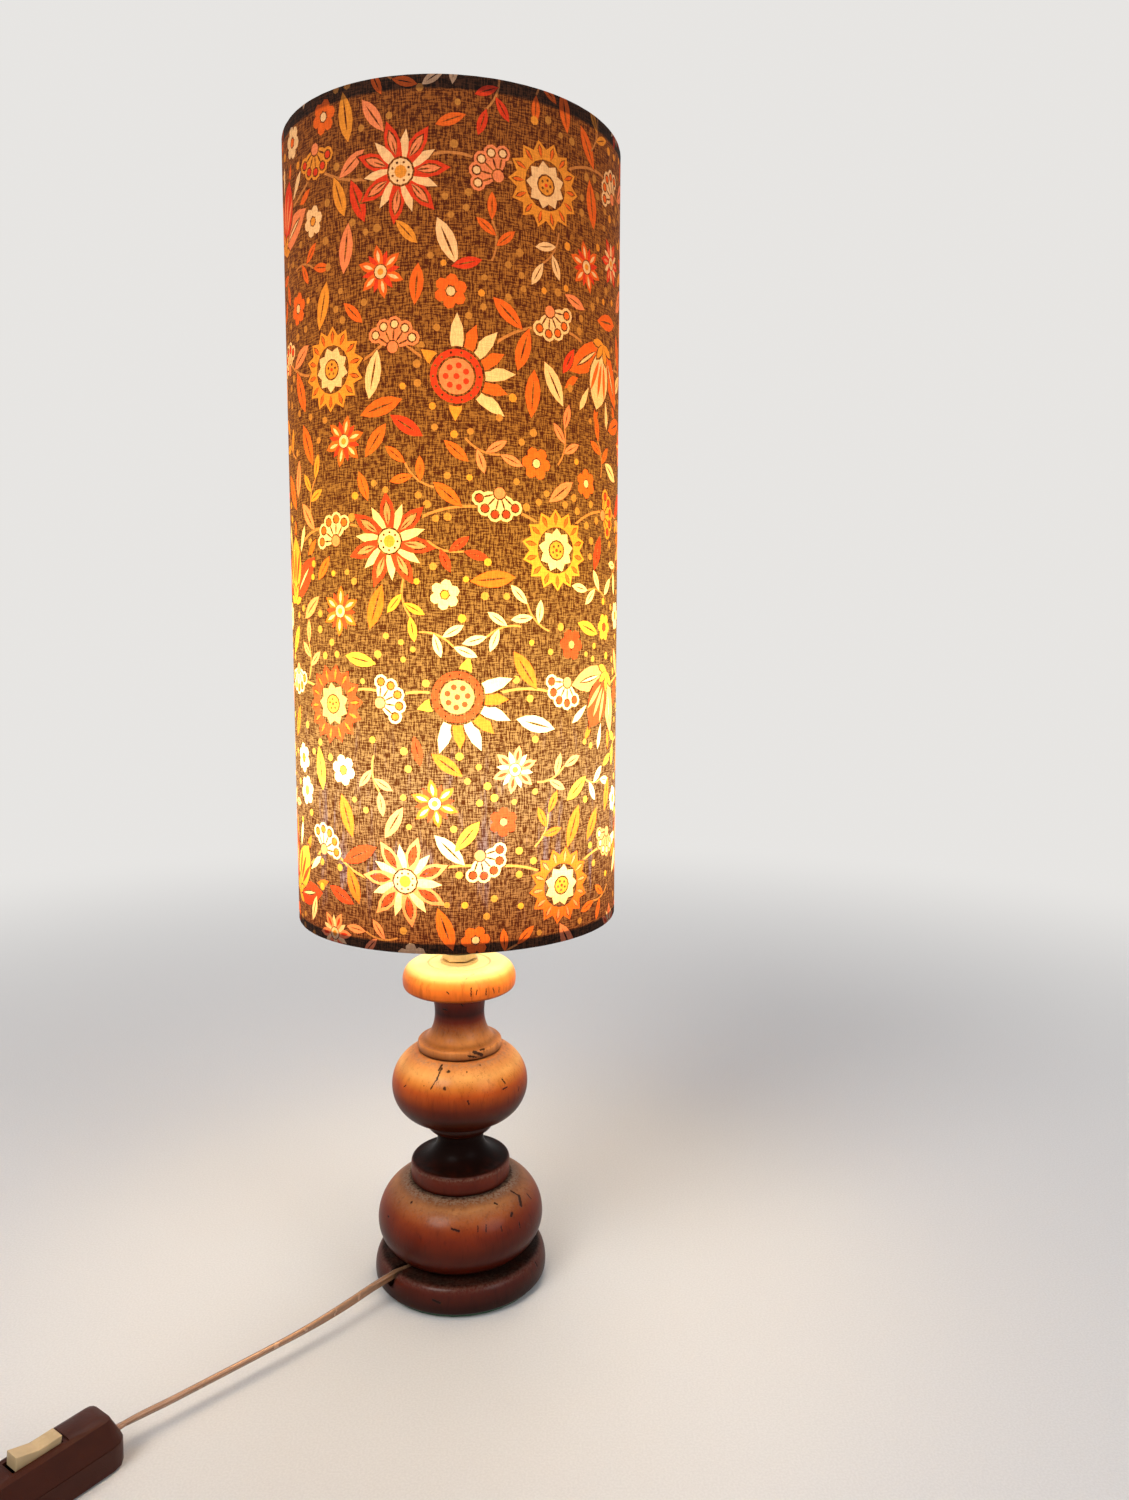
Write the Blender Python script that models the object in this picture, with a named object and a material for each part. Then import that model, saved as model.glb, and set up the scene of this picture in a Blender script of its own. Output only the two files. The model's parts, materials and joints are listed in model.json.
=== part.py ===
"""A turned wooden table lamp with a tall cylindrical cloth shade, an in-line switch and a coiled lead.

Metres, +Z up. The origin is the centre of the felt's underside, on the table.
"""

import math

import bmesh
import bpy
from mathutils import Matrix, Vector

# Clearances, cutting and fineness
GAP = 0.0003
OVERRUN = 0.002
WELD = 0.000001
SHARP_ANGLE = math.radians(32)
WOOD_COLUMNS = 32
SHADE_COLUMNS = 40
SMALL_COLUMNS = 16
TINY_COLUMNS = 8
THREAD_COLUMNS = 20

# Turned wooden stack: heights and largest radii of the pieces, from the foot up
FELT_RADIUS = 0.0470
FELT_THICKNESS = 0.0015
PLINTH_RADIUS = 0.0504
PLINTH_HEIGHT = 0.0160
PLINTH_HOLE_RADIUS = 0.0150
LOWER_BALL_RADIUS = 0.0485
LOWER_BALL_HEIGHT = 0.0419
LOWER_NECK_RADIUS = 0.0290
LOWER_NECK_HEIGHT = 0.0277
LOWER_COLLAR_HEIGHT = 0.0112
LOWER_WAIST_RADIUS = 0.0136
UPPER_BALL_RADIUS = 0.0396
UPPER_BALL_HEIGHT = 0.0497
UPPER_FOOT_RADIUS = 0.0200
UPPER_FOOT_HEIGHT = 0.0078
UPPER_NECK_RADIUS = 0.0244
UPPER_NECK_HEIGHT = 0.0360
UPPER_COLLAR_HEIGHT = 0.0056
UPPER_WAIST_RADIUS = 0.0144
CAP_RADIUS = 0.0328
CAP_HEIGHT = 0.0148
CAP_GROOVE_RADIUS = 0.0178
CAP_GROOVE_DEPTH = 0.0006

# Threaded tie tube and its fasteners
TUBE_RADIUS = 0.0050
TUBE_BORE_RADIUS = 0.0038
TUBE_CLEARANCE = 0.0003
COUNTERBORE_RADIUS = 0.0150
COUNTERBORE_DEPTH = 0.0200
WASHER_RADIUS = 0.0110
WASHER_THICKNESS = 0.0015
NUT_FLATS = 0.0170
NUT_THICKNESS = 0.0045
TUBE_TAIL = 0.0012
SCREW_RADIUS = 0.0019
SCREW_HEAD_RADIUS = 0.0037
SCREW_HEAD_HEIGHT = 0.0024
SCREW_LENGTH = 0.0240
SCREW_RING_RADIUS = 0.0270
PLINTH_SCREWS = 3

# Bulb holder, for a 27 mm screw cap
HOLDER_RADIUS = 0.0195
HOLDER_WALL = 0.0020
HOLDER_CAP_HEIGHT = 0.0200
HOLDER_CAP_FLOOR = 0.0030
HOLDER_BODY_HEIGHT = 0.0370
HOLDER_LIP_RADIUS = 0.0150
HOLDER_LIP_HEIGHT = 0.0025
HOLDER_FLANGE_RADIUS = 0.0230
HOLDER_FLANGE_HEIGHT = 0.0025
HOLDER_FLANGE_LIFT = 0.0140
INSERT_THICKNESS = 0.0110
INSERT_BOSS_RADIUS = 0.0060
INSERT_BOSS_HEIGHT = 0.0016
INSERT_WIRE_RADIUS = 0.0032
SHELL_OUTER_RADIUS = 0.0144
CONTACT_WIDTH = 0.0050
CONTACT_LENGTH = 0.0085
CONTACT_THICKNESS = 0.0006
CONTACT_RISE = 0.0022
TERMINAL_RADIUS = 0.0016
TERMINAL_HEAD_RADIUS = 0.0030
TERMINAL_HEAD_HEIGHT = 0.0018
TERMINAL_DEPTH = 0.0050
RING_NUT_RADIUS = 0.0235
RING_NUT_HEIGHT = 0.0085

# Bulb and its screw thread
THREAD_PITCH = 0.003629
THREAD_TURNS = 4
THREAD_ROWS_PER_TURN = 5
THREAD_CREST_RADIUS = 0.0130
THREAD_DEPTH = 0.0009
THREAD_CLEARANCE = 0.00042
BULB_CAP_WALL = 0.0010
BULB_COLLAR_HEIGHT = 0.0030
BULB_INSULATOR_HEIGHT = 0.0034
BULB_TIP_RADIUS = 0.0042
BULB_TIP_HEIGHT = 0.0018
BULB_RADIUS = 0.0300
BULB_GLASS_HEIGHT = 0.0790
BULB_GLASS_THICKNESS = 0.0011
STEM_RADIUS = 0.0050
STEM_HEIGHT = 0.0400
FILAMENT_RADIUS = 0.0008
FILAMENT_SPAN = 0.0240
FILAMENT_LEG = 0.0100

# Shade
SHADE_RADIUS = 0.0902
SHADE_HEIGHT = 0.4128
SHADE_BOTTOM = 0.2205
CLOTH_THICKNESS = 0.0005
LINER_THICKNESS = 0.0005
RING_WIRE_RADIUS = 0.0015
HEM_TAIL = 0.0060
ARM_WIRE_RADIUS = 0.0015
FITTER_INNER_RADIUS = 0.0200
FITTER_OUTER_RADIUS = 0.0252
FITTER_THICKNESS = 0.0020
SHADE_ARMS = 3
FIRST_ARM_ANGLE = math.radians(90)

# In-line switch, lying on the table
SWITCH_LENGTH = 0.0780
SWITCH_WIDTH = 0.0220
SWITCH_FOOT_WIDTH = 0.0214
SWITCH_CORNER = 0.0080
SWITCH_PARTING = 0.0123
SHOULDER_HEIGHT = 0.0245
SHOULDER_LENGTH = 0.0652
SHOULDER_WIDTH = 0.0164
SHOULDER_CORNER = 0.0032
SWITCH_HEIGHT = 0.0262
CROWN_LENGTH = 0.0570
CROWN_WIDTH = 0.0100
CROWN_CORNER = 0.0026
SWITCH_WALL = 0.0018
SWITCH_EDGE = 0.0009
SWITCH_END = Vector((-0.1460, -0.1481, 0))
SWITCH_HEADING = math.radians(-125.3)
CORD_HEIGHT = 0.0120
ROCKER_LENGTH = 0.0206
ROCKER_WIDTH = 0.0078
ROCKER_RIM = 0.0084
ROCKER_DIP = 0.0068
ROCKER_UNDERSIDE = 0.0020
ROCKER_BOSS_RADIUS = 0.0030
ROCKER_NOSE = 0.0048
ROCKER_NOSE_WIDTH = 0.0030
ROCKER_TILT = math.radians(7)
ROCKER_CLEARANCE = 0.0006
ROCKER_SWING_ROOM = 0.0010
PIVOT_DROP = 0.0050
PIVOT_RADIUS = 0.0010
PIVOT_EAR_THICKNESS = 0.0012
PIVOT_EAR_LENGTH = 0.0060
PIVOT_EAR_DROP = 0.0020
BAY_MARGIN = 0.0017
BAY_DEPTH = 0.0008
BRIDGE_LENGTH = 0.0120
BRIDGE_WIDTH = 0.0034
BRIDGE_THICKNESS = 0.0006
STRIP_LENGTH = 0.0095
STRIP_WIDTH = 0.0044
COMMON_STRIP_LENGTH = 0.0091
COMMON_STRIP_WIDTH = 0.0030
STRIP_LAP = 0.0018
COMMON_STRIP_LAP = 0.0011
STRIP_THICKNESS = 0.0008
STRIP_SCREW_RADIUS = 0.0012
STRIP_HEAD_RADIUS = 0.0017
STRIP_HEAD_HEIGHT = 0.0012
STRIP_SCREW_DEPTH = 0.0040
CLAMP_LENGTH = 0.0040
CLAMP_WIDTH = 0.0125
CLAMP_HEIGHT = 0.0022
CLAMP_POST_WIDTH = 0.0024
CLAMP_INSET = 0.0090
CASE_SCREW_RADIUS = 0.0013
CASE_SCREW_HEAD_RADIUS = 0.0021
CASE_SCREW_HEAD_HEIGHT = 0.0016
CASE_SCREW_LENGTH = 0.0170
CASE_SCREW_BOSS_RADIUS = 0.0026
CASE_SCREW_INSET = 0.0160
CASE_SCREW_OFFSET = 0.0044

# Lead: a flat twin flex, 5 mm wide, drawn here as a round tube of that width
CORD_RADIUS = 0.0025
CORD_CLEARANCE = 0.0003
CORD_SIDES_RESOLUTION = 2
CORD_STEP_IN_DIAMETERS = 2.5
CORD_ANGLE = math.radians(-138)
CORD_EXIT_HEIGHT = 0.0152
NOTCH_DROP = 0.0056
INNER_BEND_RADIUS = 0.0180
CORD_IN_SWITCH = 0.0115
COIL_MIDDLE_RADIUS = 0.0260
COIL_LOOP_GAP = 0.0005
COIL_LAYERS = 4
COIL_LOOPS = 8 + 145 / 360
COIL_POINTS_PER_LOOP = 24
COIL_LEAD_IN = 0.0640
COIL_END_STRAIGHT = 0.0050
TIE_THICKNESS = 0.0009
TIE_WIDTH = 0.0060
TIE_CORNER = 0.0030
TIE_CLEARANCE = 0.0005
TIE_ANGLE = math.radians(20)

# Two-pin plug, lying on the table
PLUG_LENGTH = 0.0360
PLUG_WIDTH = 0.0340
PLUG_THICKNESS = 0.0137
PLUG_RELIEF_LENGTH = 0.0220
PLUG_RELIEF_THICKNESS = 0.0080
PIN_RADIUS = 0.0020
PIN_LENGTH = 0.0190
PIN_SPACING = 0.0186
PIN_SEAT = 0.0060
PLUG_TAIL = 0.0700

# Route of the stretch between the lamp's foot and the switch
LAMP_STRETCH_ROUTE = (
    (-0.0465, -0.0428, 0.0141),
    (-0.0595, -0.0580, 0.0127),
    (-0.0750, -0.0752, 0.0118),
    (-0.0923, -0.0932, 0.0115),
    (-0.1117, -0.1129, 0.0115),
    (-0.1311, -0.1328, 0.0117),
)

# Where the pieces stand
FOOT_TOP = FELT_THICKNESS + GAP
PLINTH_TOP = FOOT_TOP + PLINTH_HEIGHT
LOWER_BALL_BOTTOM = PLINTH_TOP + GAP
LOWER_NECK_BOTTOM = LOWER_BALL_BOTTOM + LOWER_BALL_HEIGHT + GAP
UPPER_BALL_BOTTOM = LOWER_NECK_BOTTOM + LOWER_NECK_HEIGHT + GAP
UPPER_NECK_BOTTOM = UPPER_BALL_BOTTOM + UPPER_BALL_HEIGHT + GAP
CAP_BOTTOM = UPPER_NECK_BOTTOM + UPPER_NECK_HEIGHT + GAP
CAP_TOP = CAP_BOTTOM + CAP_HEIGHT
WOOD_BORE_RADIUS = TUBE_RADIUS + TUBE_CLEARANCE
COUNTERBORE_TOP = LOWER_BALL_BOTTOM + COUNTERBORE_DEPTH
LOWER_WASHER_BOTTOM = COUNTERBORE_TOP - GAP - WASHER_THICKNESS
LOWER_NUT_BOTTOM = LOWER_WASHER_BOTTOM - GAP - NUT_THICKNESS
TUBE_BOTTOM = LOWER_NUT_BOTTOM - TUBE_TAIL
UPPER_WASHER_BOTTOM = CAP_TOP + GAP
UPPER_NUT_BOTTOM = UPPER_WASHER_BOTTOM + WASHER_THICKNESS + GAP
HOLDER_BOTTOM = UPPER_NUT_BOTTOM + NUT_THICKNESS + GAP
TUBE_TOP = HOLDER_BOTTOM + HOLDER_CAP_FLOOR + TUBE_TAIL
HOLDER_BODY_BOTTOM = HOLDER_BOTTOM + HOLDER_CAP_HEIGHT + GAP
HOLDER_TOP = HOLDER_BODY_BOTTOM + HOLDER_BODY_HEIGHT
FLANGE_TOP = HOLDER_BODY_BOTTOM + HOLDER_FLANGE_LIFT + HOLDER_FLANGE_HEIGHT
INSERT_BOTTOM = HOLDER_BODY_BOTTOM - INSERT_THICKNESS / 2
INSERT_TOP = INSERT_BOTTOM + INSERT_THICKNESS
INSERT_RADIUS = HOLDER_RADIUS - HOLDER_WALL - GAP
SHELL_BOTTOM = INSERT_TOP + GAP
CONTACT_BOTTOM = INSERT_TOP + INSERT_BOSS_HEIGHT + GAP
TIP_BOTTOM = CONTACT_BOTTOM + CONTACT_THICKNESS + CONTACT_RISE + GAP
INSULATOR_BOTTOM = TIP_BOTTOM + BULB_TIP_HEIGHT + GAP
BULB_CAP_BOTTOM = INSULATOR_BOTTOM + BULB_INSULATOR_HEIGHT + GAP
THREAD_HEIGHT = THREAD_TURNS * THREAD_PITCH
BULB_CAP_TOP = BULB_CAP_BOTTOM + THREAD_HEIGHT + BULB_COLLAR_HEIGHT
GLASS_BOTTOM = BULB_CAP_TOP + GAP
SHELL_TOP = BULB_CAP_BOTTOM + THREAD_HEIGHT
SHADE_TOP = SHADE_BOTTOM + SHADE_HEIGHT
LINER_RADIUS = SHADE_RADIUS - CLOTH_THICKNESS - GAP
RING_MIDDLE_RADIUS = LINER_RADIUS - LINER_THICKNESS - GAP - RING_WIRE_RADIUS
RING_INSET = CLOTH_THICKNESS + GAP + RING_WIRE_RADIUS
FITTER_BOTTOM = FLANGE_TOP + GAP
RING_NUT_BOTTOM = FITTER_BOTTOM + FITTER_THICKNESS + GAP
SWITCH_AXIS = Vector((math.cos(SWITCH_HEADING), math.sin(SWITCH_HEADING), 0))
SWITCH_CENTRE = SWITCH_END + SWITCH_AXIS * (SWITCH_LENGTH / 2)
PIVOT_HEIGHT = SWITCH_HEIGHT - PIVOT_DROP
COIL_BASE = TIE_THICKNESS + TIE_CLEARANCE + GAP
UP = Vector((0, 0, 1))


def clear_scene():
    for old in list(bpy.data.objects):
        bpy.data.objects.remove(old)


def finish(name, colour, roughness, metallic=0.0, alpha=1.0):
    """A Principled material of one plain colour."""
    made = bpy.data.materials.new(name)
    made.use_nodes = True
    shader = made.node_tree.nodes["Principled BSDF"]
    shader.inputs["Base Color"].default_value = (*colour, 1)
    shader.inputs["Roughness"].default_value = roughness
    shader.inputs["Metallic"].default_value = metallic
    shader.inputs["Alpha"].default_value = alpha
    return made


def make_finishes():
    return {
        "felt": finish("felt", (0.05, 0.12, 0.06), 0.95),
        "wood": finish("wood", (0.36, 0.12, 0.03), 0.32),
        "steel": finish("steel", (0.62, 0.62, 0.60), 0.35, 1.0),
        "brass": finish("brass", (0.70, 0.52, 0.22), 0.30, 1.0),
        "bakelite": finish("bakelite", (0.03, 0.025, 0.02), 0.45),
        "ceramic": finish("ceramic", (0.80, 0.78, 0.72), 0.40),
        "opal": finish("opal", (0.95, 0.92, 0.84), 0.25),
        "bulb_metal": finish("bulb_metal", (0.72, 0.72, 0.70), 0.30, 1.0),
        "black_glass": finish("black_glass", (0.02, 0.02, 0.02), 0.20),
        "shade_cloth": finish("shade_cloth", (0.16, 0.07, 0.03), 0.90),
        "liner": finish("liner", (0.85, 0.82, 0.74), 0.60),
        "white_wire": finish("white_wire", (0.80, 0.80, 0.78), 0.45),
        "brown_plastic": finish("brown_plastic", (0.055, 0.020, 0.012), 0.50),
        "cream_plastic": finish("cream_plastic", (0.74, 0.62, 0.38), 0.35),
        "gold_flex": finish("gold_flex", (0.55, 0.34, 0.18), 0.35),
        "black_plastic": finish("black_plastic", (0.03, 0.03, 0.03), 0.50),
    }


def add_piece(name, sheet, material, parent=None):
    """Turns a bmesh into a named object."""
    bmesh.ops.remove_doubles(sheet, verts=sheet.verts[:], dist=WELD)
    bmesh.ops.recalc_face_normals(sheet, faces=sheet.faces[:])
    mesh = bpy.data.meshes.new(name)
    sheet.to_mesh(mesh)
    sheet.free()
    mesh.shade_smooth()
    mesh.set_sharp_from_angle(angle=SHARP_ANGLE)
    if material:
        mesh.materials.append(material)
    piece = bpy.data.objects.new(name, mesh)
    bpy.context.collection.objects.link(piece)
    piece.parent = parent
    return piece


def boolean(piece, other, operation):
    """Cuts or joins another object, which becomes a hidden helper."""
    modifier = piece.modifiers.new(f"{operation.lower()}_{other.name}", "BOOLEAN")
    modifier.operation = operation
    modifier.solver = "EXACT"
    modifier.object = other
    other.hide_render = True
    other.display_type = "WIRE"


def cut(piece, cutter):
    boolean(piece, cutter, "DIFFERENCE")


def weld_on(piece, extra):
    boolean(piece, extra, "UNION")


def turned(name, outline, columns, material, parent=None, centre=Vector((0, 0))):
    """A solid of revolution about Z from a closed outline of (radius, height)."""
    sheet = bmesh.new()
    points = [sheet.verts.new((radius, 0, height)) for radius, height in outline]
    sides = zip(points, points[1:] + points[:1])
    edges = [sheet.edges.new(pair) for pair in sides if max(pair[0].co.x, pair[1].co.x) > WELD]
    bmesh.ops.spin(
        sheet,
        geom=points + edges,
        cent=Vector(),
        axis=UP,
        angle=math.tau,
        steps=columns,
        use_merge=True,
    )
    bmesh.ops.translate(sheet, verts=sheet.verts[:], vec=(centre[0], centre[1], 0))
    return add_piece(name, sheet, material, parent)


def rod_outline(radius, bottom, top):
    return [(0, bottom), (radius, bottom), (radius, top), (0, top)]


def tube_outline(inner, outer, bottom, top):
    return [(inner, bottom), (outer, bottom), (outer, top), (inner, top)]


def scaled_outline(shares, radius, bottom, height):
    return [(radius * across, bottom + height * up) for across, up in shares]


def arc(centre, radii, start, end, steps):
    """Points of an upright elliptical arc, angles in degrees."""
    points = []
    for step in range(steps + 1):
        angle = math.radians(start + (end - start) * step / steps)
        points.append((centre[0] + radii[0] * math.cos(angle), centre[1] + radii[1] * math.sin(angle)))
    return points


def rounded_rectangle(length, width, corner, height, steps=3):
    """One loop of points, anticlockwise, centred on the Z axis."""
    loop = []
    for turn, (along, across) in enumerate(((1, 1), (-1, 1), (-1, -1), (1, -1))):
        middle = Vector((along * (length / 2 - corner), across * (width / 2 - corner), height))
        for step in range(steps + 1):
            angle = math.radians(90) * (turn + step / steps)
            middle_to_edge = Vector((math.cos(angle), math.sin(angle), 0)) * corner
            loop.append(middle + middle_to_edge)
    return loop


def lofted(name, loops, material, parent=None, matrix=None):
    """A closed body from loops of equal counts, with a face across the first and the last."""
    sheet = bmesh.new()
    rings = [[sheet.verts.new(point) for point in loop] for loop in loops]
    for near, far in zip(rings, rings[1:]):
        for one in range(len(near)):
            two = (one + 1) % len(near)
            sheet.faces.new((near[one], near[two], far[two], far[one]))
    sheet.faces.new(list(reversed(rings[0])))
    sheet.faces.new(rings[-1])
    if matrix:
        bmesh.ops.transform(sheet, matrix=matrix, verts=sheet.verts[:])
    return add_piece(name, sheet, material, parent)


def looped(name, loops, material, parent=None, matrix=None):
    """A closed ring body from loops of equal counts, the last one joined to the first."""
    sheet = bmesh.new()
    rings = [[sheet.verts.new(point) for point in loop] for loop in loops]
    for near, far in zip(rings, rings[1:] + rings[:1]):
        for one in range(len(near)):
            two = (one + 1) % len(near)
            sheet.faces.new((near[one], near[two], far[two], far[one]))
    if matrix:
        bmesh.ops.transform(sheet, matrix=matrix, verts=sheet.verts[:])
    return add_piece(name, sheet, material, parent)


def block(name, size, centre, material=None, parent=None, turn=0.0):
    """A plain box by its size and centre, turned about Z."""
    sheet = bmesh.new()
    bmesh.ops.create_cube(sheet, size=1.0)
    bmesh.ops.scale(sheet, vec=size, verts=sheet.verts[:])
    place = Matrix.Translation(centre) @ Matrix.Rotation(turn, 4, "Z")
    bmesh.ops.transform(sheet, matrix=place, verts=sheet.verts[:])
    return add_piece(name, sheet, material, parent)


def round_bar(name, start, end, radius, columns, material=None, parent=None):
    """A plain cylinder between two points."""
    sheet = bmesh.new()
    run = end - start
    bmesh.ops.create_cone(
        sheet,
        cap_ends=True,
        segments=columns,
        radius1=radius,
        radius2=radius,
        depth=run.length,
    )
    place = Matrix.Translation((start + end) / 2) @ run.to_track_quat("Z", "Y").to_matrix().to_4x4()
    bmesh.ops.transform(sheet, matrix=place, verts=sheet.verts[:])
    return add_piece(name, sheet, material, parent)


def empty(name, place, turn=0.0, parent=None):
    holder = bpy.data.objects.new(name, None)
    bpy.context.collection.objects.link(holder)
    holder.location = place
    holder.rotation_euler = (0, 0, turn)
    holder.parent = parent
    return holder


def make_felt(finishes):
    turned("felt_pad", rod_outline(FELT_RADIUS, 0, FELT_THICKNESS), WOOD_COLUMNS, finishes["felt"])


def make_plinth(finishes):
    """The foot disc, with a slot in its top for the cord."""
    side_shares = (
        (0.955, 0.0),
        (0.990, 0.10),
        (1.0, 0.30),
        (0.994, 0.56),
        (0.972, 0.80),
        (0.938, 0.94),
        (0.890, 1.0),
    )
    outline = scaled_outline(side_shares, PLINTH_RADIUS, FOOT_TOP, PLINTH_HEIGHT)
    outline += [(PLINTH_HOLE_RADIUS, PLINTH_TOP), (PLINTH_HOLE_RADIUS, FOOT_TOP)]
    plinth = turned("base_plinth", outline, WOOD_COLUMNS, finishes["wood"])
    floor = CORD_EXIT_HEIGHT - NOTCH_DROP
    roof = PLINTH_TOP + OVERRUN
    start = PLINTH_HOLE_RADIUS - OVERRUN
    end = PLINTH_RADIUS + OVERRUN
    middle = (start + end) / 2
    centre = Vector((math.cos(CORD_ANGLE), math.sin(CORD_ANGLE), 0)) * middle + UP * (floor + roof) / 2
    size = (end - start, (CORD_RADIUS + CORD_CLEARANCE) * 2, roof - floor)
    cut(plinth, block("cord_slot_cutter", size, centre, turn=CORD_ANGLE))
    for number in range(PLINTH_SCREWS):
        place = screw_place(number)
        shank = rod_outline(SCREW_RADIUS + GAP, FELT_THICKNESS - OVERRUN, PLINTH_TOP + OVERRUN)
        head_top = FOOT_TOP + SCREW_HEAD_HEIGHT + GAP
        head = rod_outline(SCREW_HEAD_RADIUS + GAP, FELT_THICKNESS - OVERRUN, head_top)
        cut(plinth, turned(f"shank_cutter_{number}", shank, TINY_COLUMNS, None, centre=place))
        cut(plinth, turned(f"head_cutter_{number}", head, TINY_COLUMNS, None, centre=place))


def screw_place(number):
    """Where a foot screw stands: evenly round, with the cord midway between two."""
    angle = CORD_ANGLE + math.tau * (number + 1 / 2) / PLINTH_SCREWS
    return Vector((math.cos(angle), math.sin(angle))) * SCREW_RING_RADIUS


def make_plinth_screws(finishes):
    for number in range(PLINTH_SCREWS):
        head_top = FOOT_TOP + SCREW_HEAD_HEIGHT
        tip = FOOT_TOP + SCREW_LENGTH
        outline = [
            (0, FOOT_TOP),
            (SCREW_HEAD_RADIUS, FOOT_TOP),
            (SCREW_HEAD_RADIUS, head_top),
            (SCREW_RADIUS, head_top),
            (SCREW_RADIUS, tip - SCREW_RADIUS),
            (0, tip),
        ]
        name = f"foot_screw_{number + 1}"
        turned(name, outline, TINY_COLUMNS, finishes["steel"], centre=screw_place(number))


def make_lower_ball(finishes):
    core = LOWER_BALL_RADIUS * 0.536
    middle = LOWER_BALL_BOTTOM + LOWER_BALL_HEIGHT * 0.447
    low = LOWER_BALL_HEIGHT * 0.497
    high = LOWER_BALL_HEIGHT * 0.562
    swell = LOWER_BALL_RADIUS - core
    side = arc((core, middle), (swell, low), -64, 0, 5) + arc((core, middle), (swell, high), 0, 80, 6)[1:]
    side[0] = (side[0][0], LOWER_BALL_BOTTOM)
    side[-1] = (side[-1][0], LOWER_BALL_BOTTOM + LOWER_BALL_HEIGHT)
    outline = side + [
        (WOOD_BORE_RADIUS, LOWER_BALL_BOTTOM + LOWER_BALL_HEIGHT),
        (WOOD_BORE_RADIUS, COUNTERBORE_TOP),
        (COUNTERBORE_RADIUS, COUNTERBORE_TOP),
        (COUNTERBORE_RADIUS, LOWER_BALL_BOTTOM),
    ]
    ball = turned("lower_ball", outline, WOOD_COLUMNS, finishes["wood"])
    for number in range(PLINTH_SCREWS):
        hole = rod_outline(SCREW_RADIUS + GAP, PLINTH_TOP - OVERRUN, FOOT_TOP + SCREW_LENGTH + GAP)
        pilot = turned(f"pilot_cutter_{number}", hole, TINY_COLUMNS, None, centre=screw_place(number))
        cut(ball, pilot)


def make_lower_neck(finishes):
    """The lower collar, whose top sweeps in to a narrow waist."""
    collar = [
        (LOWER_NECK_RADIUS * 0.985, 0),
        (LOWER_NECK_RADIUS, LOWER_COLLAR_HEIGHT * 0.07),
        (LOWER_NECK_RADIUS, LOWER_COLLAR_HEIGHT * 0.90),
        (LOWER_NECK_RADIUS * 0.975, LOWER_COLLAR_HEIGHT),
        (LOWER_NECK_RADIUS * 0.920, LOWER_COLLAR_HEIGHT * 1.03),
    ]
    start_radius = LOWER_NECK_RADIUS * 0.920
    start_height = LOWER_COLLAR_HEIGHT * 1.03
    reach = start_radius - LOWER_WAIST_RADIUS
    rise = LOWER_NECK_HEIGHT * 0.44
    sweep = arc((start_radius, start_height + rise), (reach, rise), 270, 180, 5)[1:]
    outline = [(radius, LOWER_NECK_BOTTOM + height) for radius, height in collar + sweep]
    top = LOWER_NECK_BOTTOM + LOWER_NECK_HEIGHT
    outline += [(LOWER_WAIST_RADIUS, top), (WOOD_BORE_RADIUS, top), (WOOD_BORE_RADIUS, LOWER_NECK_BOTTOM)]
    turned("lower_neck", outline, WOOD_COLUMNS, finishes["wood"])


def make_upper_ball(finishes):
    """The upper ball, with the small foot bead that it stands on."""
    bead_shares = ((0.80, 0.0), (0.93, 0.30), (1.0, 0.62), (1.0, 0.80), (0.96, 1.0))
    bead = scaled_outline(bead_shares, UPPER_FOOT_RADIUS, UPPER_BALL_BOTTOM, UPPER_FOOT_HEIGHT)
    core = UPPER_BALL_RADIUS * 0.480
    middle = UPPER_BALL_BOTTOM + UPPER_BALL_HEIGHT * 0.588
    low = UPPER_BALL_HEIGHT * 0.425
    high = UPPER_BALL_HEIGHT * 0.434
    swell = UPPER_BALL_RADIUS - core
    side = arc((core, middle), (swell, low), -76, 0, 6) + arc((core, middle), (swell, high), 0, 72, 5)[1:]
    top = UPPER_BALL_BOTTOM + UPPER_BALL_HEIGHT
    side[-1] = (side[-1][0], top)
    outline = bead + side + [(WOOD_BORE_RADIUS, top), (WOOD_BORE_RADIUS, UPPER_BALL_BOTTOM)]
    turned("upper_ball", outline, WOOD_COLUMNS, finishes["wood"])


def make_upper_neck(finishes):
    """The upper collar, sweeping in to a waist and out again under the cap."""
    collar_shares = ((0.984, 0.0), (1.0, 0.20), (1.0, 0.76), (0.967, 1.0))
    collar = scaled_outline(collar_shares, UPPER_NECK_RADIUS, UPPER_NECK_BOTTOM, UPPER_COLLAR_HEIGHT)
    climb = UPPER_NECK_HEIGHT - UPPER_COLLAR_HEIGHT
    waist_height = UPPER_NECK_BOTTOM + UPPER_COLLAR_HEIGHT + climb * 0.52
    start_radius = UPPER_NECK_RADIUS * 0.967
    lower_reach = start_radius - UPPER_WAIST_RADIUS
    lower = arc((start_radius, waist_height), (lower_reach, climb * 0.52), 270, 180, 6)[1:]
    top = UPPER_NECK_BOTTOM + UPPER_NECK_HEIGHT
    flare = UPPER_NECK_RADIUS * 0.84 - UPPER_WAIST_RADIUS
    upper = arc((UPPER_WAIST_RADIUS + flare, waist_height), (flare, climb * 0.48), 180, 100, 4)[1:]
    outline = collar + lower + upper
    outline[-1] = (outline[-1][0], top)
    outline += [(WOOD_BORE_RADIUS, top), (WOOD_BORE_RADIUS, UPPER_NECK_BOTTOM)]
    turned("upper_neck", outline, WOOD_COLUMNS, finishes["wood"])


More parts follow.
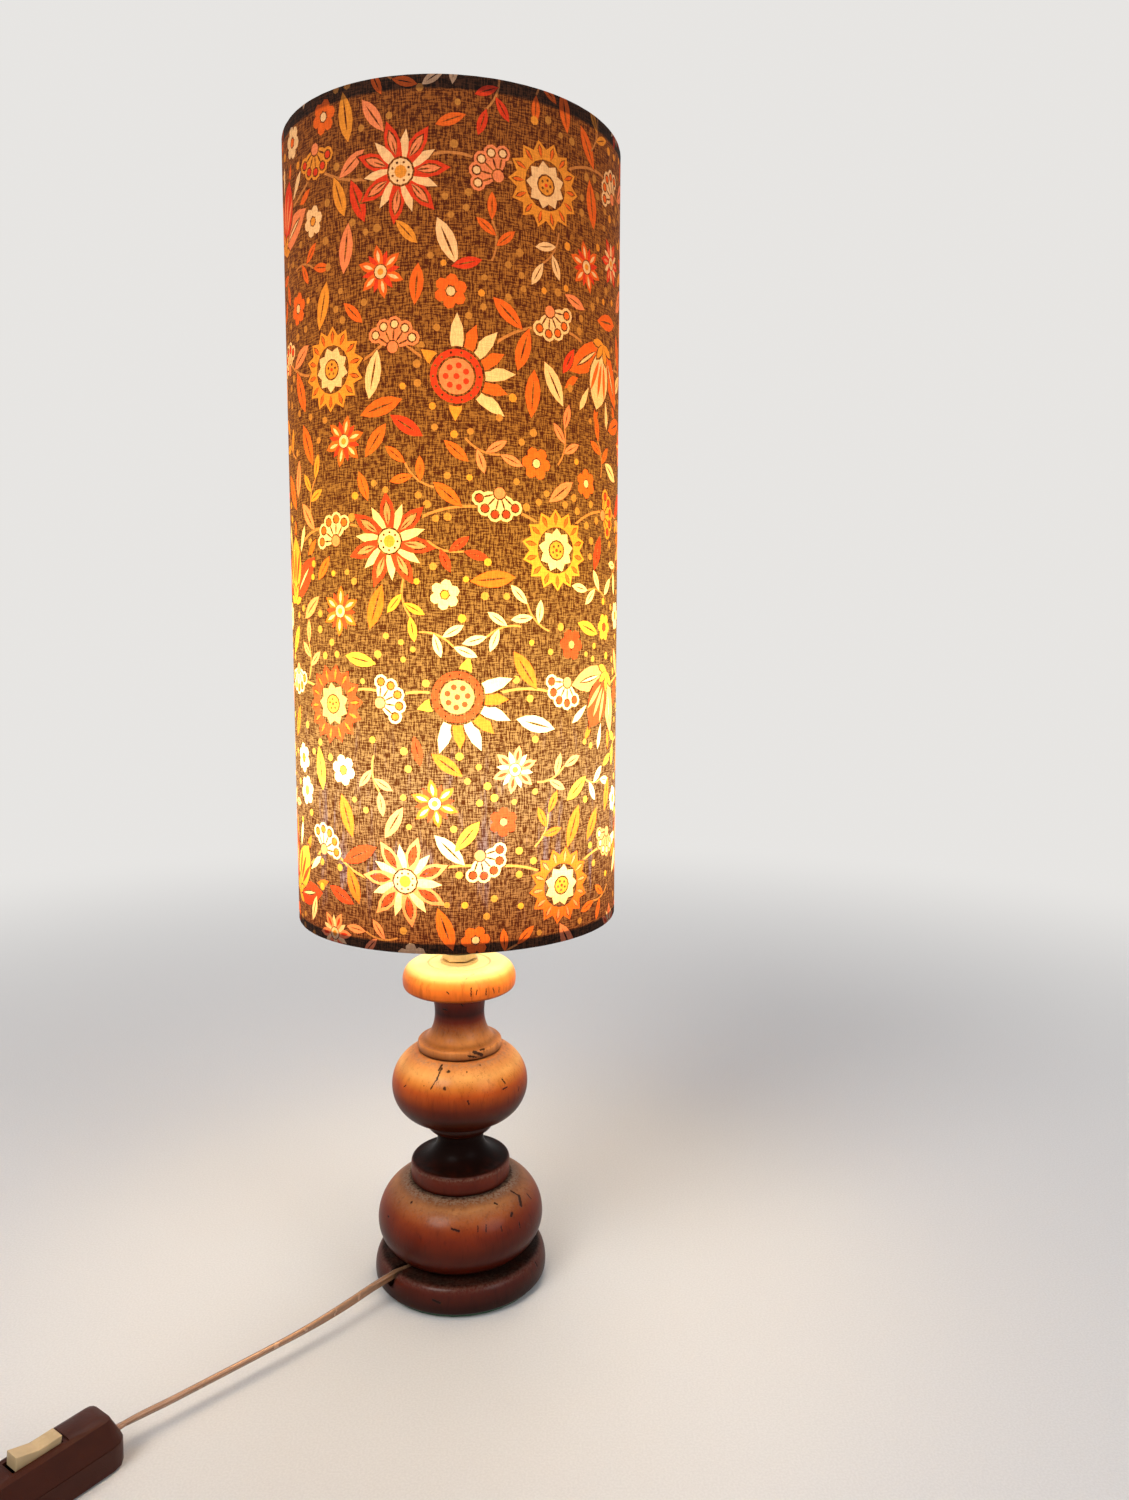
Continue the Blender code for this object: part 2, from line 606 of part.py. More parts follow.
def make_top_cap(finishes):
    """The round cap under the bulb holder, with a fine groove turned in its top."""
    side_shares = (
        (0.925, 0.0),
        (0.985, 0.13),
        (1.0, 0.33),
        (0.990, 0.57),
        (0.940, 0.80),
        (0.860, 0.95),
        (0.780, 1.0),
    )
    outline = scaled_outline(side_shares, CAP_RADIUS, CAP_BOTTOM, CAP_HEIGHT)
    outline += [
        (CAP_GROOVE_RADIUS + CAP_GROOVE_DEPTH, CAP_TOP),
        (CAP_GROOVE_RADIUS, CAP_TOP - CAP_GROOVE_DEPTH),
        (CAP_GROOVE_RADIUS - CAP_GROOVE_DEPTH, CAP_TOP),
        (WOOD_BORE_RADIUS, CAP_TOP),
        (WOOD_BORE_RADIUS, CAP_BOTTOM),
    ]
    turned("top_cap", outline, WOOD_COLUMNS, finishes["wood"])


def make_tie_tube(finishes):
    """The hollow threaded tube that holds the stack together, with its washers and nuts."""
    tube = tube_outline(TUBE_BORE_RADIUS, TUBE_RADIUS, TUBE_BOTTOM, TUBE_TOP)
    turned("threaded_tube", tube, SMALL_COLUMNS, finishes["steel"])
    for name, bottom in (("lower_washer", LOWER_WASHER_BOTTOM), ("upper_washer", UPPER_WASHER_BOTTOM)):
        ring = tube_outline(WOOD_BORE_RADIUS, WASHER_RADIUS, bottom, bottom + WASHER_THICKNESS)
        turned(name, ring, SMALL_COLUMNS, finishes["steel"])
    for name, bottom in (("lower_nut", LOWER_NUT_BOTTOM), ("upper_nut", UPPER_NUT_BOTTOM)):
        corner_radius = NUT_FLATS / math.sqrt(3)
        outline = rod_outline(corner_radius, bottom, bottom + NUT_THICKNESS)
        nut = turned(name, outline, 6, finishes["steel"])
        hole = rod_outline(WOOD_BORE_RADIUS, bottom - OVERRUN, bottom + NUT_THICKNESS + OVERRUN)
        cut(nut, turned(f"{name}_cutter", hole, SMALL_COLUMNS, None))


def make_holder(finishes):
    """The bulb holder: base cap, body with its flange, insert, screw shell, contacts and shade ring."""
    inner = HOLDER_RADIUS - HOLDER_WALL
    cap = [
        (WOOD_BORE_RADIUS, HOLDER_BOTTOM),
        (HOLDER_RADIUS * 0.62, HOLDER_BOTTOM),
        (HOLDER_RADIUS * 0.90, HOLDER_BOTTOM + HOLDER_CAP_HEIGHT * 0.22),
        (HOLDER_RADIUS, HOLDER_BOTTOM + HOLDER_CAP_HEIGHT * 0.45),
        (HOLDER_RADIUS, HOLDER_BOTTOM + HOLDER_CAP_HEIGHT),
        (inner, HOLDER_BOTTOM + HOLDER_CAP_HEIGHT),
        (inner, HOLDER_BOTTOM + HOLDER_CAP_HEIGHT * 0.45),
        (inner * 0.88, HOLDER_BOTTOM + HOLDER_CAP_HEIGHT * 0.30),
        (WOOD_BORE_RADIUS * 1.6, HOLDER_BOTTOM + HOLDER_CAP_FLOOR),
        (WOOD_BORE_RADIUS, HOLDER_BOTTOM + HOLDER_CAP_FLOOR),
    ]
    turned("holder_cap", cap, SMALL_COLUMNS, finishes["bakelite"])
    flange_bottom = FLANGE_TOP - HOLDER_FLANGE_HEIGHT
    lip_bottom = HOLDER_TOP - HOLDER_LIP_HEIGHT
    body = [
        (inner, HOLDER_BODY_BOTTOM),
        (HOLDER_RADIUS, HOLDER_BODY_BOTTOM),
        (HOLDER_RADIUS, flange_bottom),
        (HOLDER_FLANGE_RADIUS, flange_bottom),
        (HOLDER_FLANGE_RADIUS, FLANGE_TOP),
        (HOLDER_RADIUS, FLANGE_TOP),
        (HOLDER_RADIUS, HOLDER_TOP),
        (HOLDER_LIP_RADIUS, HOLDER_TOP),
        (HOLDER_LIP_RADIUS, lip_bottom),
        (inner, lip_bottom),
    ]
    turned("holder_body", body, SMALL_COLUMNS, finishes["bakelite"])
    make_holder_insert(finishes)
    make_holder_shell(finishes)
    make_holder_contacts(finishes)
    ring_nut_top = RING_NUT_BOTTOM + RING_NUT_HEIGHT
    ring_nut = tube_outline(HOLDER_RADIUS + GAP, RING_NUT_RADIUS, RING_NUT_BOTTOM, ring_nut_top)
    turned("shade_ring_nut", ring_nut, SMALL_COLUMNS, finishes["bakelite"])


def terminal_places():
    across = (INSERT_BOSS_RADIUS + INSERT_RADIUS) / 2
    return (Vector((across, 0)), Vector((-across, 0)))


def make_holder_insert(finishes):
    """The ceramic disc, with a raised middle, a way through for each wire and two screw holes."""
    outline = [
        (0, INSERT_BOTTOM),
        (INSERT_RADIUS, INSERT_BOTTOM),
        (INSERT_RADIUS, INSERT_TOP),
        (INSERT_BOSS_RADIUS, INSERT_TOP),
        (INSERT_BOSS_RADIUS, INSERT_TOP + INSERT_BOSS_HEIGHT),
        (0, INSERT_TOP + INSERT_BOSS_HEIGHT),
    ]
    insert = turned("holder_insert", outline, SMALL_COLUMNS, finishes["ceramic"])
    over = INSERT_TOP + INSERT_BOSS_HEIGHT + OVERRUN
    for number, place in enumerate(terminal_places()):
        socket = rod_outline(TERMINAL_RADIUS + GAP, INSERT_BOTTOM - OVERRUN, INSERT_BOTTOM + TERMINAL_DEPTH)
        cut(insert, turned(f"terminal_cutter_{number}", socket, TINY_COLUMNS, None, centre=place))
        way = rod_outline(INSERT_WIRE_RADIUS, INSERT_BOTTOM - OVERRUN, over)
        side = Vector((-place[1], place[0]))
        cut(insert, turned(f"wire_way_cutter_{number}", way, TINY_COLUMNS, None, centre=side))
    for number, place in enumerate(terminal_places()):
        outline = [
            (0, INSERT_BOTTOM - TERMINAL_HEAD_HEIGHT - GAP),
            (TERMINAL_HEAD_RADIUS, INSERT_BOTTOM - TERMINAL_HEAD_HEIGHT - GAP),
            (TERMINAL_HEAD_RADIUS, INSERT_BOTTOM - GAP),
            (TERMINAL_RADIUS, INSERT_BOTTOM - GAP),
            (TERMINAL_RADIUS, INSERT_BOTTOM + TERMINAL_DEPTH - GAP),
            (0, INSERT_BOTTOM + TERMINAL_DEPTH - GAP),
        ]
        turned(f"holder_screw_{number + 1}", outline, TINY_COLUMNS, finishes["brass"], centre=place)


def thread_radius(mean, swing, angle, height):
    """A right-hand thread's radius at an angle and height."""
    phase = math.tau * height / THREAD_PITCH - angle
    return mean + swing * math.cos(phase)


def threaded_ring(name, rings, columns, material, parent=None):
    """A closed body of rings about Z, each given as (height, mean radius, thread swing)."""
    loops = []
    for height, mean, swing in rings:
        loop = []
        for column in range(columns):
            angle = math.tau * column / columns
            radius = thread_radius(mean, swing, angle, height)
            loop.append((radius * math.cos(angle), radius * math.sin(angle), height))
        loops.append(loop)
    return looped(name, loops, material, parent)


def thread_heights(bottom):
    rows = THREAD_TURNS * THREAD_ROWS_PER_TURN
    return [bottom + THREAD_HEIGHT * row / rows for row in range(rows + 1)]


def make_holder_shell(finishes):
    """The brass screw shell: the bulb cap's thread, moved outward by the clearance."""
    swing = THREAD_DEPTH / 2
    mean = THREAD_CREST_RADIUS - swing + THREAD_CLEARANCE
    plain = mean + swing
    heights = thread_heights(BULB_CAP_BOTTOM)[1:-1]
    rings = [(SHELL_BOTTOM, plain, 0), (BULB_CAP_BOTTOM, plain, 0)]
    rings += [(height, mean, swing) for height in heights]
    rings.append((SHELL_TOP, plain, 0))
    rings += [(SHELL_TOP, SHELL_OUTER_RADIUS, 0), (SHELL_BOTTOM, SHELL_OUTER_RADIUS, 0)]
    threaded_ring("holder_shell", rings, THREAD_COLUMNS, finishes["brass"])


def make_holder_contacts(finishes):
    """The sprung middle contact: a strip with a raised tongue under the bulb's tip."""
    sheet = bmesh.new()
    half = CONTACT_LENGTH / 2
    thick = CONTACT_THICKNESS
    side = [
        (-half, 0),
        (half, 0),
        (half, thick),
        (-half * 0.55, thick),
        (-half * 0.20, CONTACT_RISE),
        (half * 0.45, CONTACT_RISE),
        (half * 0.45, CONTACT_RISE + thick),
        (-half * 0.35, CONTACT_RISE + thick),
        (-half, thick * 1.4),
    ]
    points = [Vector((along, -CONTACT_WIDTH / 2, CONTACT_BOTTOM + up)) for along, up in side]
    face = sheet.faces.new([sheet.verts.new(point) for point in points])
    grown = bmesh.ops.extrude_face_region(sheet, geom=[face])["geom"]
    moved = [item for item in grown if isinstance(item, bmesh.types.BMVert)]
    bmesh.ops.translate(sheet, verts=moved, vec=(0, CONTACT_WIDTH, 0))
    add_piece("holder_contact", sheet, finishes["brass"])


def make_bulb(finishes):
    """The bulb: threaded cap, insulator, tip contact, glass, glass stem and filament."""
    turner = empty("bulb_axis", Vector((0, 0, 0)))
    swing = THREAD_DEPTH / 2
    mean = THREAD_CREST_RADIUS - swing
    root = mean - swing
    inner = root - BULB_CAP_WALL
    heights = thread_heights(BULB_CAP_BOTTOM)[1:-1]
    collar = BULB_CAP_BOTTOM + THREAD_HEIGHT
    rings = [(BULB_CAP_BOTTOM, root, 0)]
    rings += [(height, mean, swing) for height in heights]
    rings += [(collar, root, 0), (BULB_CAP_TOP, THREAD_CREST_RADIUS, 0)]
    rings += [(BULB_CAP_TOP, inner, 0), (BULB_CAP_BOTTOM, inner, 0)]
    threaded_ring("bulb_cap", rings, THREAD_COLUMNS, finishes["bulb_metal"], turner)
    insulator = [
        (0, INSULATOR_BOTTOM),
        (BULB_TIP_RADIUS * 1.25, INSULATOR_BOTTOM),
        (root * 0.96, INSULATOR_BOTTOM + BULB_INSULATOR_HEIGHT),
        (0, INSULATOR_BOTTOM + BULB_INSULATOR_HEIGHT),
    ]
    turned("bulb_insulator", insulator, SMALL_COLUMNS, finishes["black_glass"], turner)
    tip = [
        (0, TIP_BOTTOM),
        (BULB_TIP_RADIUS * 0.6, TIP_BOTTOM + BULB_TIP_HEIGHT * 0.15),
        (BULB_TIP_RADIUS, TIP_BOTTOM + BULB_TIP_HEIGHT * 0.6),
        (BULB_TIP_RADIUS, TIP_BOTTOM + BULB_TIP_HEIGHT),
        (0, TIP_BOTTOM + BULB_TIP_HEIGHT),
    ]
    turned("bulb_tip", tip, SMALL_COLUMNS, finishes["bulb_metal"], empty("bulb_slide", Vector((0, 0, 0))))
    make_bulb_glass(finishes, turner, inner)


def make_bulb_glass(finishes, turner, neck_limit):
    """The pear-shaped glass, open at its neck, over a stem that carries the filament."""
    middle = GLASS_BOTTOM + BULB_GLASS_HEIGHT - BULB_RADIUS
    neck = neck_limit - GAP
    outer = [
        (neck, GLASS_BOTTOM - BULB_COLLAR_HEIGHT),
        (neck, GLASS_BOTTOM),
        (THREAD_CREST_RADIUS, GLASS_BOTTOM + BULB_COLLAR_HEIGHT * 0.5),
        (THREAD_CREST_RADIUS * 1.08, GLASS_BOTTOM + BULB_GLASS_HEIGHT * 0.16),
        (BULB_RADIUS * 0.72, GLASS_BOTTOM + BULB_GLASS_HEIGHT * 0.36),
    ]
    outer += arc((0, middle), (BULB_RADIUS, BULB_RADIUS), -28, 90, 7)
    inside = [(max(radius - BULB_GLASS_THICKNESS, 0), height) for radius, height in outer[:-1]]
    inside.append((0, outer[-1][1] - BULB_GLASS_THICKNESS))
    outline = outer + list(reversed(inside))
    turned("bulb_glass", outline, SMALL_COLUMNS, finishes["opal"], turner)
    stem_bottom = INSULATOR_BOTTOM + BULB_INSULATOR_HEIGHT + GAP
    stem_top = GLASS_BOTTOM + STEM_HEIGHT
    stem = [
        (0, stem_bottom),
        (neck_limit - BULB_GLASS_THICKNESS - GAP * 4, stem_bottom),
        (STEM_RADIUS, GLASS_BOTTOM),
        (STEM_RADIUS * 0.5, stem_top),
        (0, stem_top),
    ]
    turned("bulb_stem", stem, TINY_COLUMNS, finishes["opal"], turner)
    half = FILAMENT_SPAN / 2
    low = stem_top + GAP + FILAMENT_RADIUS
    route = [
        Vector((-half * 0.12, 0, low)),
        Vector((-half, 0, low + FILAMENT_LEG)),
        Vector((-half * 0.5, 0, low + FILAMENT_LEG * 1.35)),
        Vector((0, 0, low + FILAMENT_LEG * 1.20)),
        Vector((half * 0.5, 0, low + FILAMENT_LEG * 1.35)),
        Vector((half, 0, low + FILAMENT_LEG)),
        Vector((half * 0.12, 0, low)),
    ]
    flex("bulb_filament", route, FILAMENT_RADIUS, finishes["steel"], resolution=1, parent=turner)


def make_shade(finishes):
    """Cloth drum hemmed over two wire rings, a stiff liner, and three arms to the fitter ring."""
    outside = SHADE_RADIUS
    hook = RING_MIDDLE_RADIUS - RING_WIRE_RADIUS - GAP
    inside = hook - CLOTH_THICKNESS
    wall = SHADE_RADIUS - CLOTH_THICKNESS
    top_in = SHADE_TOP - CLOTH_THICKNESS
    bottom_in = SHADE_BOTTOM + CLOTH_THICKNESS
    outline = [
        (outside, SHADE_BOTTOM),
        (outside, SHADE_TOP),
        (inside, SHADE_TOP),
        (inside, SHADE_TOP - HEM_TAIL),
        (hook, SHADE_TOP - HEM_TAIL),
        (hook, top_in),
        (wall, top_in),
        (wall, bottom_in),
        (hook, bottom_in),
        (hook, SHADE_BOTTOM + HEM_TAIL),
        (inside, SHADE_BOTTOM + HEM_TAIL),
        (inside, SHADE_BOTTOM),
    ]
    turned("shade_cloth", outline, SHADE_COLUMNS, finishes["shade_cloth"])
    liner_bottom = SHADE_BOTTOM + CLOTH_THICKNESS + GAP
    liner_top = SHADE_TOP - CLOTH_THICKNESS - GAP
    liner = tube_outline(LINER_RADIUS - LINER_THICKNESS, LINER_RADIUS, liner_bottom, liner_top)
    turned("shade_liner", liner, SHADE_COLUMNS, finishes["liner"])
    lower_wire_height = SHADE_BOTTOM + RING_INSET
    upper_wire_height = SHADE_TOP - RING_INSET
    for name, height in (("shade_bottom_wire", lower_wire_height), ("shade_top_wire", upper_wire_height)):
        ring = arc((RING_MIDDLE_RADIUS, height), (RING_WIRE_RADIUS, RING_WIRE_RADIUS), 0, 360, 6)[:-1]
        turned(name, ring, SHADE_COLUMNS, finishes["white_wire"])
    fitter_top = FITTER_BOTTOM + FITTER_THICKNESS
    fitter = tube_outline(FITTER_INNER_RADIUS, FITTER_OUTER_RADIUS, FITTER_BOTTOM, fitter_top)
    turned("shade_fitter", fitter, SMALL_COLUMNS, finishes["white_wire"])
    for number in range(SHADE_ARMS):
        angle = FIRST_ARM_ANGLE + math.tau * number / SHADE_ARMS
        outward = Vector((math.cos(angle), math.sin(angle), 0))
        centre_height = FITTER_BOTTOM + FITTER_THICKNESS / 2
        inner_end = outward * (FITTER_OUTER_RADIUS + GAP) + UP * centre_height
        hem_face = (inside - GAP) * math.cos(math.pi / SHADE_COLUMNS)
        outer_end = outward * hem_face + UP * (lower_wire_height + ARM_WIRE_RADIUS)
        name = f"shade_arm_{number + 1}"
        round_bar(name, inner_end, outer_end, ARM_WIRE_RADIUS, TINY_COLUMNS, finishes["white_wire"])


def case_loops(levels):
    """Loops of the switch case: each level is (height, length, width, corner, inset)."""
    loops = []
    for height, length, width, corner, inset in levels:
        loops.append(rounded_rectangle(length - 2 * inset, width - 2 * inset, corner - inset, height))
    return loops


def make_switch_case(finishes, frame):
    """Lower and upper halves of the case, meeting at the parting line."""
    foot = (SWITCH_LENGTH, SWITCH_FOOT_WIDTH, SWITCH_CORNER)
    rim = (SWITCH_LENGTH, SWITCH_WIDTH, SWITCH_CORNER)
    shoulder = (SHOULDER_LENGTH, SHOULDER_WIDTH, SHOULDER_CORNER)
    crown = (CROWN_LENGTH, CROWN_WIDTH, CROWN_CORNER)
    lower = case_loops(
        (
            (0, *foot, SWITCH_EDGE),
            (SWITCH_EDGE, *foot, 0),
            (SWITCH_PARTING, *rim, 0),
            (SWITCH_PARTING, *rim, SWITCH_WALL),
            (SWITCH_WALL, *foot, SWITCH_WALL),
        )
    )
    upper = case_loops(
        (
            (SWITCH_HEIGHT, *crown, 0),
            (SHOULDER_HEIGHT, *shoulder, 0),
            (SWITCH_PARTING + GAP, *rim, 0),
            (SWITCH_PARTING + GAP, *rim, SWITCH_WALL),
            (SHOULDER_HEIGHT - SWITCH_WALL, *shoulder, SWITCH_WALL),
            (SWITCH_HEIGHT - SWITCH_WALL, *crown, SWITCH_WALL),
        )
    )
    bottom_half = lofted("switch_lower_case", lower, finishes["brown_plastic"], frame)
    top_half = lofted("switch_upper_case", upper, finishes["brown_plastic"], frame)
    add_case_pillars(bottom_half, top_half, frame)
    cut_rocker_bay(top_half, frame)
    for side in (-1, 1):
        start = Vector((side * (SWITCH_LENGTH / 2 - SWITCH_WALL - OVERRUN), 0, CORD_HEIGHT))
        end = Vector((side * (SWITCH_LENGTH / 2 + OVERRUN), 0, CORD_HEIGHT))
        radius = CORD_RADIUS + CORD_CLEARANCE
        hole = round_bar(f"cord_hole_{side}", start, end, radius, SMALL_COLUMNS, parent=frame)
        cut(bottom_half, hole)
        cut(top_half, hole)


def case_screw_places():
    along = SWITCH_LENGTH / 2 - CASE_SCREW_INSET
    return (Vector((-along, -CASE_SCREW_OFFSET, 0)), Vector((along, CASE_SCREW_OFFSET, 0)))


def add_case_pillars(bottom_half, top_half, frame):
    """Screw pillars in both halves, the case screws' holes, clamp posts, and ears for the rocker's pin."""
    buried = SWITCH_HEIGHT - SWITCH_WALL * 0.9
    for number, place in enumerate(case_screw_places()):
        low = place + UP * SWITCH_WALL / 2
        joint = place + UP * SWITCH_PARTING
        over = place + UP * (SWITCH_PARTING + GAP)
        roof = place + UP * buried
        boss = CASE_SCREW_BOSS_RADIUS
        lower_pillar = round_bar(f"lower_pillar_{number}", low, joint, boss, TINY_COLUMNS, parent=frame)
        upper_pillar = round_bar(f"upper_pillar_{number}", over, roof, boss, TINY_COLUMNS, parent=frame)
        weld_on(bottom_half, lower_pillar)
        weld_on(top_half, upper_pillar)
        below = place - UP * OVERRUN
        tip = place + UP * (CASE_SCREW_LENGTH + GAP)
        head_top = place + UP * (CASE_SCREW_HEAD_HEIGHT + GAP * 2)
        shank_room = CASE_SCREW_RADIUS + GAP
        head_room = CASE_SCREW_HEAD_RADIUS + GAP
        bore = round_bar(f"case_bore_{number}", below, tip, shank_room, TINY_COLUMNS, parent=frame)
        sink = round_bar(f"case_sink_{number}", below, head_top, head_room, TINY_COLUMNS, parent=frame)
        cut(bottom_half, sink)
        cut(bottom_half, bore)
        cut(top_half, bore)
    post_low = SWITCH_WALL / 2
    post_high = CORD_HEIGHT + CORD_RADIUS
    for end in (-1, 1):
        for side in (-1, 1):
            along = end * (SWITCH_LENGTH / 2 - CLAMP_INSET)
            across = side * (CLAMP_WIDTH - CLAMP_POST_WIDTH) / 2
            size = (CLAMP_LENGTH, CLAMP_POST_WIDTH, post_high - post_low)
            centre = Vector((along, across, (post_low + post_high) / 2))
            weld_on(bottom_half, block(f"clamp_post_{end}_{side}", size, centre, parent=frame))
    ear_low = PIVOT_HEIGHT - PIVOT_EAR_DROP
    for side in (-1, 1):
        across = side * (ROCKER_WIDTH / 2 + ROCKER_CLEARANCE + GAP + PIVOT_EAR_THICKNESS / 2)
        size = (PIVOT_EAR_LENGTH, PIVOT_EAR_THICKNESS, buried - ear_low)
        centre = Vector((0, across, (ear_low + buried) / 2))
        weld_on(top_half, block(f"pivot_ear_{side}", size, centre, parent=frame))


def cut_rocker_bay(top_half, frame):
    """A shallow bay round the rocker, the opening under it and the pin's hole."""
    length = ROCKER_LENGTH + 2 * ROCKER_SWING_ROOM
    width = ROCKER_WIDTH + 2 * ROCKER_CLEARANCE
    low = SWITCH_HEIGHT - SWITCH_WALL - OVERRUN
    high = SWITCH_HEIGHT + OVERRUN
    opening_centre = Vector((0, 0, (low + high) / 2))
    opening = block("rocker_opening", (length, width, high - low), opening_centre, parent=frame)
    bay_low = SWITCH_HEIGHT - BAY_DEPTH
    bay_size = (length + 2 * BAY_MARGIN, width + 2 * BAY_MARGIN, high - bay_low)
    bay = block("rocker_bay", bay_size, Vector((0, 0, (bay_low + high) / 2)), parent=frame)
    reach = ROCKER_WIDTH / 2 + ROCKER_CLEARANCE + PIVOT_EAR_THICKNESS + GAP * 2
    start = Vector((0, -reach, PIVOT_HEIGHT))
    end = Vector((0, reach, PIVOT_HEIGHT))
    pin_hole = round_bar("pin_hole", start, end, PIVOT_RADIUS + GAP, TINY_COLUMNS, parent=frame)
    cut(top_half, opening)
    cut(top_half, bay)
    cut(top_half, pin_hole)


def make_rocker(finishes, frame):
    """The rocker with its shallow V top, turned on its pin to the pressed position nearest the lamp."""
    pivot = empty("rocker_axis", Vector((0, 0, PIVOT_HEIGHT)), parent=frame)
    pivot.rotation_euler = (0, -ROCKER_TILT, 0)
    half = ROCKER_LENGTH / 2
    shoulder = ROCKER_BOSS_RADIUS * 1.15
    side = [
        (-half, ROCKER_RIM),
        (0, ROCKER_DIP),
        (half, ROCKER_RIM),
        (half * 0.97, ROCKER_UNDERSIDE),
        (shoulder, ROCKER_UNDERSIDE * 0.6),
        (ROCKER_BOSS_RADIUS, -ROCKER_BOSS_RADIUS * 0.5),
        (ROCKER_NOSE_WIDTH / 2, -ROCKER_NOSE),
        (-ROCKER_NOSE_WIDTH / 2, -ROCKER_NOSE),
        (-ROCKER_BOSS_RADIUS, -ROCKER_BOSS_RADIUS * 0.5),
        (-shoulder, ROCKER_UNDERSIDE * 0.6),
        (-half * 0.97, ROCKER_UNDERSIDE),
    ]
    loops = []
    for across in (-ROCKER_WIDTH / 2, ROCKER_WIDTH / 2):
        loops.append([Vector((along, across, up)) for along, up in side])
    rocker = lofted("switch_rocker", loops, finishes["cream_plastic"], pivot)
    bore_end = Vector((0, ROCKER_WIDTH / 2 + OVERRUN, 0))
    cut(rocker, round_bar("rocker_bore", -bore_end, bore_end, PIVOT_RADIUS + GAP, TINY_COLUMNS, parent=pivot))
    bridge_height = -ROCKER_NOSE - GAP - BRIDGE_THICKNESS / 2
    size = (BRIDGE_LENGTH, BRIDGE_WIDTH, BRIDGE_THICKNESS)
    block("contact_bridge", size, Vector((0, 0, bridge_height)), finishes["brass"], pivot)
    pin_reach = ROCKER_WIDTH / 2 + ROCKER_CLEARANCE + PIVOT_EAR_THICKNESS
    start = Vector((0, -pin_reach, PIVOT_HEIGHT))
    end = Vector((0, pin_reach, PIVOT_HEIGHT))
    round_bar("rocker_pin", start, end, PIVOT_RADIUS, TINY_COLUMNS, finishes["steel"], frame)


def bridge_underside(place):
    """Height of the tilted bridge's underside above a place along the switch."""
    drop = ROCKER_NOSE + GAP + BRIDGE_THICKNESS
    return PIVOT_HEIGHT - drop / math.cos(ROCKER_TILT) + place * math.tan(ROCKER_TILT)


def make_switch_terminals(finishes, frame, bottom_half):
    """Two brass strips on posts: one under the bridge's lamp end, one crosswise under its middle."""
    drop = ROCKER_NOSE + GAP + BRIDGE_THICKNESS
    bridge_end = drop * math.sin(ROCKER_TILT) - BRIDGE_LENGTH / 2 * math.cos(ROCKER_TILT)
    lamp_near = bridge_end + STRIP_LAP
    common_near = -COMMON_STRIP_WIDTH / 2
    lamp_middle = Vector((lamp_near - STRIP_LENGTH / 2, 0))
    common_middle = Vector((0, COMMON_STRIP_LENGTH / 2 - COMMON_STRIP_LAP))
    plan = (
        ("switch_terminal_lamp", bridge_end, lamp_middle, STRIP_LENGTH, STRIP_WIDTH, 180),
        ("switch_terminal_common", common_near, common_middle, COMMON_STRIP_LENGTH, COMMON_STRIP_WIDTH, 90),
    )
    for name, lowest_place, middle, length, width, turn in plan:
        top = bridge_underside(lowest_place) - GAP
        bottom = top - STRIP_THICKNESS
        angle = math.radians(turn)
        centre = middle.to_3d() + UP * (bottom + STRIP_THICKNESS / 2)
        size = (length, width, STRIP_THICKNESS)
        strip = block(name, size, centre, finishes["brass"], frame, angle)
        post_high = bottom - GAP
        post_low = SWITCH_WALL / 2
        post_size = (length, width, post_high - post_low)
        post_centre = middle.to_3d() + UP * (post_low + post_high) / 2
        weld_on(bottom_half, block(f"{name}_post", post_size, post_centre, None, frame, angle))
        outward = Vector((math.cos(angle), math.sin(angle)))
        screw = middle + outward * (length / 2 - STRIP_HEAD_RADIUS)
        foot = bottom - STRIP_SCREW_DEPTH
        hole_low = screw.to_3d() + UP * (foot - GAP)
        hole_top = screw.to_3d() + UP * (top + OVERRUN)
        radius = STRIP_SCREW_RADIUS + GAP
        hole = round_bar(f"{name}_hole", hole_low, hole_top, radius, TINY_COLUMNS, parent=frame)
        cut(strip, hole)
        cut(bottom_half, hole)
        outline = [
            (0, foot),
            (STRIP_SCREW_RADIUS, foot),
            (STRIP_SCREW_RADIUS, top + GAP),
            (STRIP_HEAD_RADIUS, top + GAP),
            (STRIP_HEAD_RADIUS, top + GAP + STRIP_HEAD_HEIGHT),
            (0, top + GAP + STRIP_HEAD_HEIGHT),
        ]
        turned(f"{name}_screw", outline, TINY_COLUMNS, finishes["brass"], frame, screw)


def make_switch_fasteners(finishes, frame):
    """The case screws from below, and a bar over the flex at each end."""
    for number, place in enumerate(case_screw_places()):
        outline = [
            (0, GAP),
            (CASE_SCREW_HEAD_RADIUS, GAP),
            (CASE_SCREW_HEAD_RADIUS, GAP + CASE_SCREW_HEAD_HEIGHT),
            (CASE_SCREW_RADIUS, GAP + CASE_SCREW_HEAD_HEIGHT),
            (CASE_SCREW_RADIUS, CASE_SCREW_LENGTH),
            (0, CASE_SCREW_LENGTH),
        ]
        turned(f"switch_case_screw_{number + 1}", outline, TINY_COLUMNS, finishes["steel"], frame, place)
    for name, side in (("cord_clamp_lamp", -1), ("cord_clamp_mains", 1)):
        along = side * (SWITCH_LENGTH / 2 - CLAMP_INSET)
        height = CORD_HEIGHT + CORD_RADIUS + GAP + CLAMP_HEIGHT / 2
        size = (CLAMP_LENGTH, CLAMP_WIDTH, CLAMP_HEIGHT)
        block(name, size, Vector((along, 0, height)), finishes["cream_plastic"], frame)


def make_switch(finishes):
    frame = empty("switch_frame", SWITCH_CENTRE, SWITCH_HEADING)
    make_switch_case(finishes, frame)
    make_rocker(finishes, frame)
    make_switch_terminals(finishes, frame, bpy.data.objects["switch_lower_case"])
    make_switch_fasteners(finishes, frame)


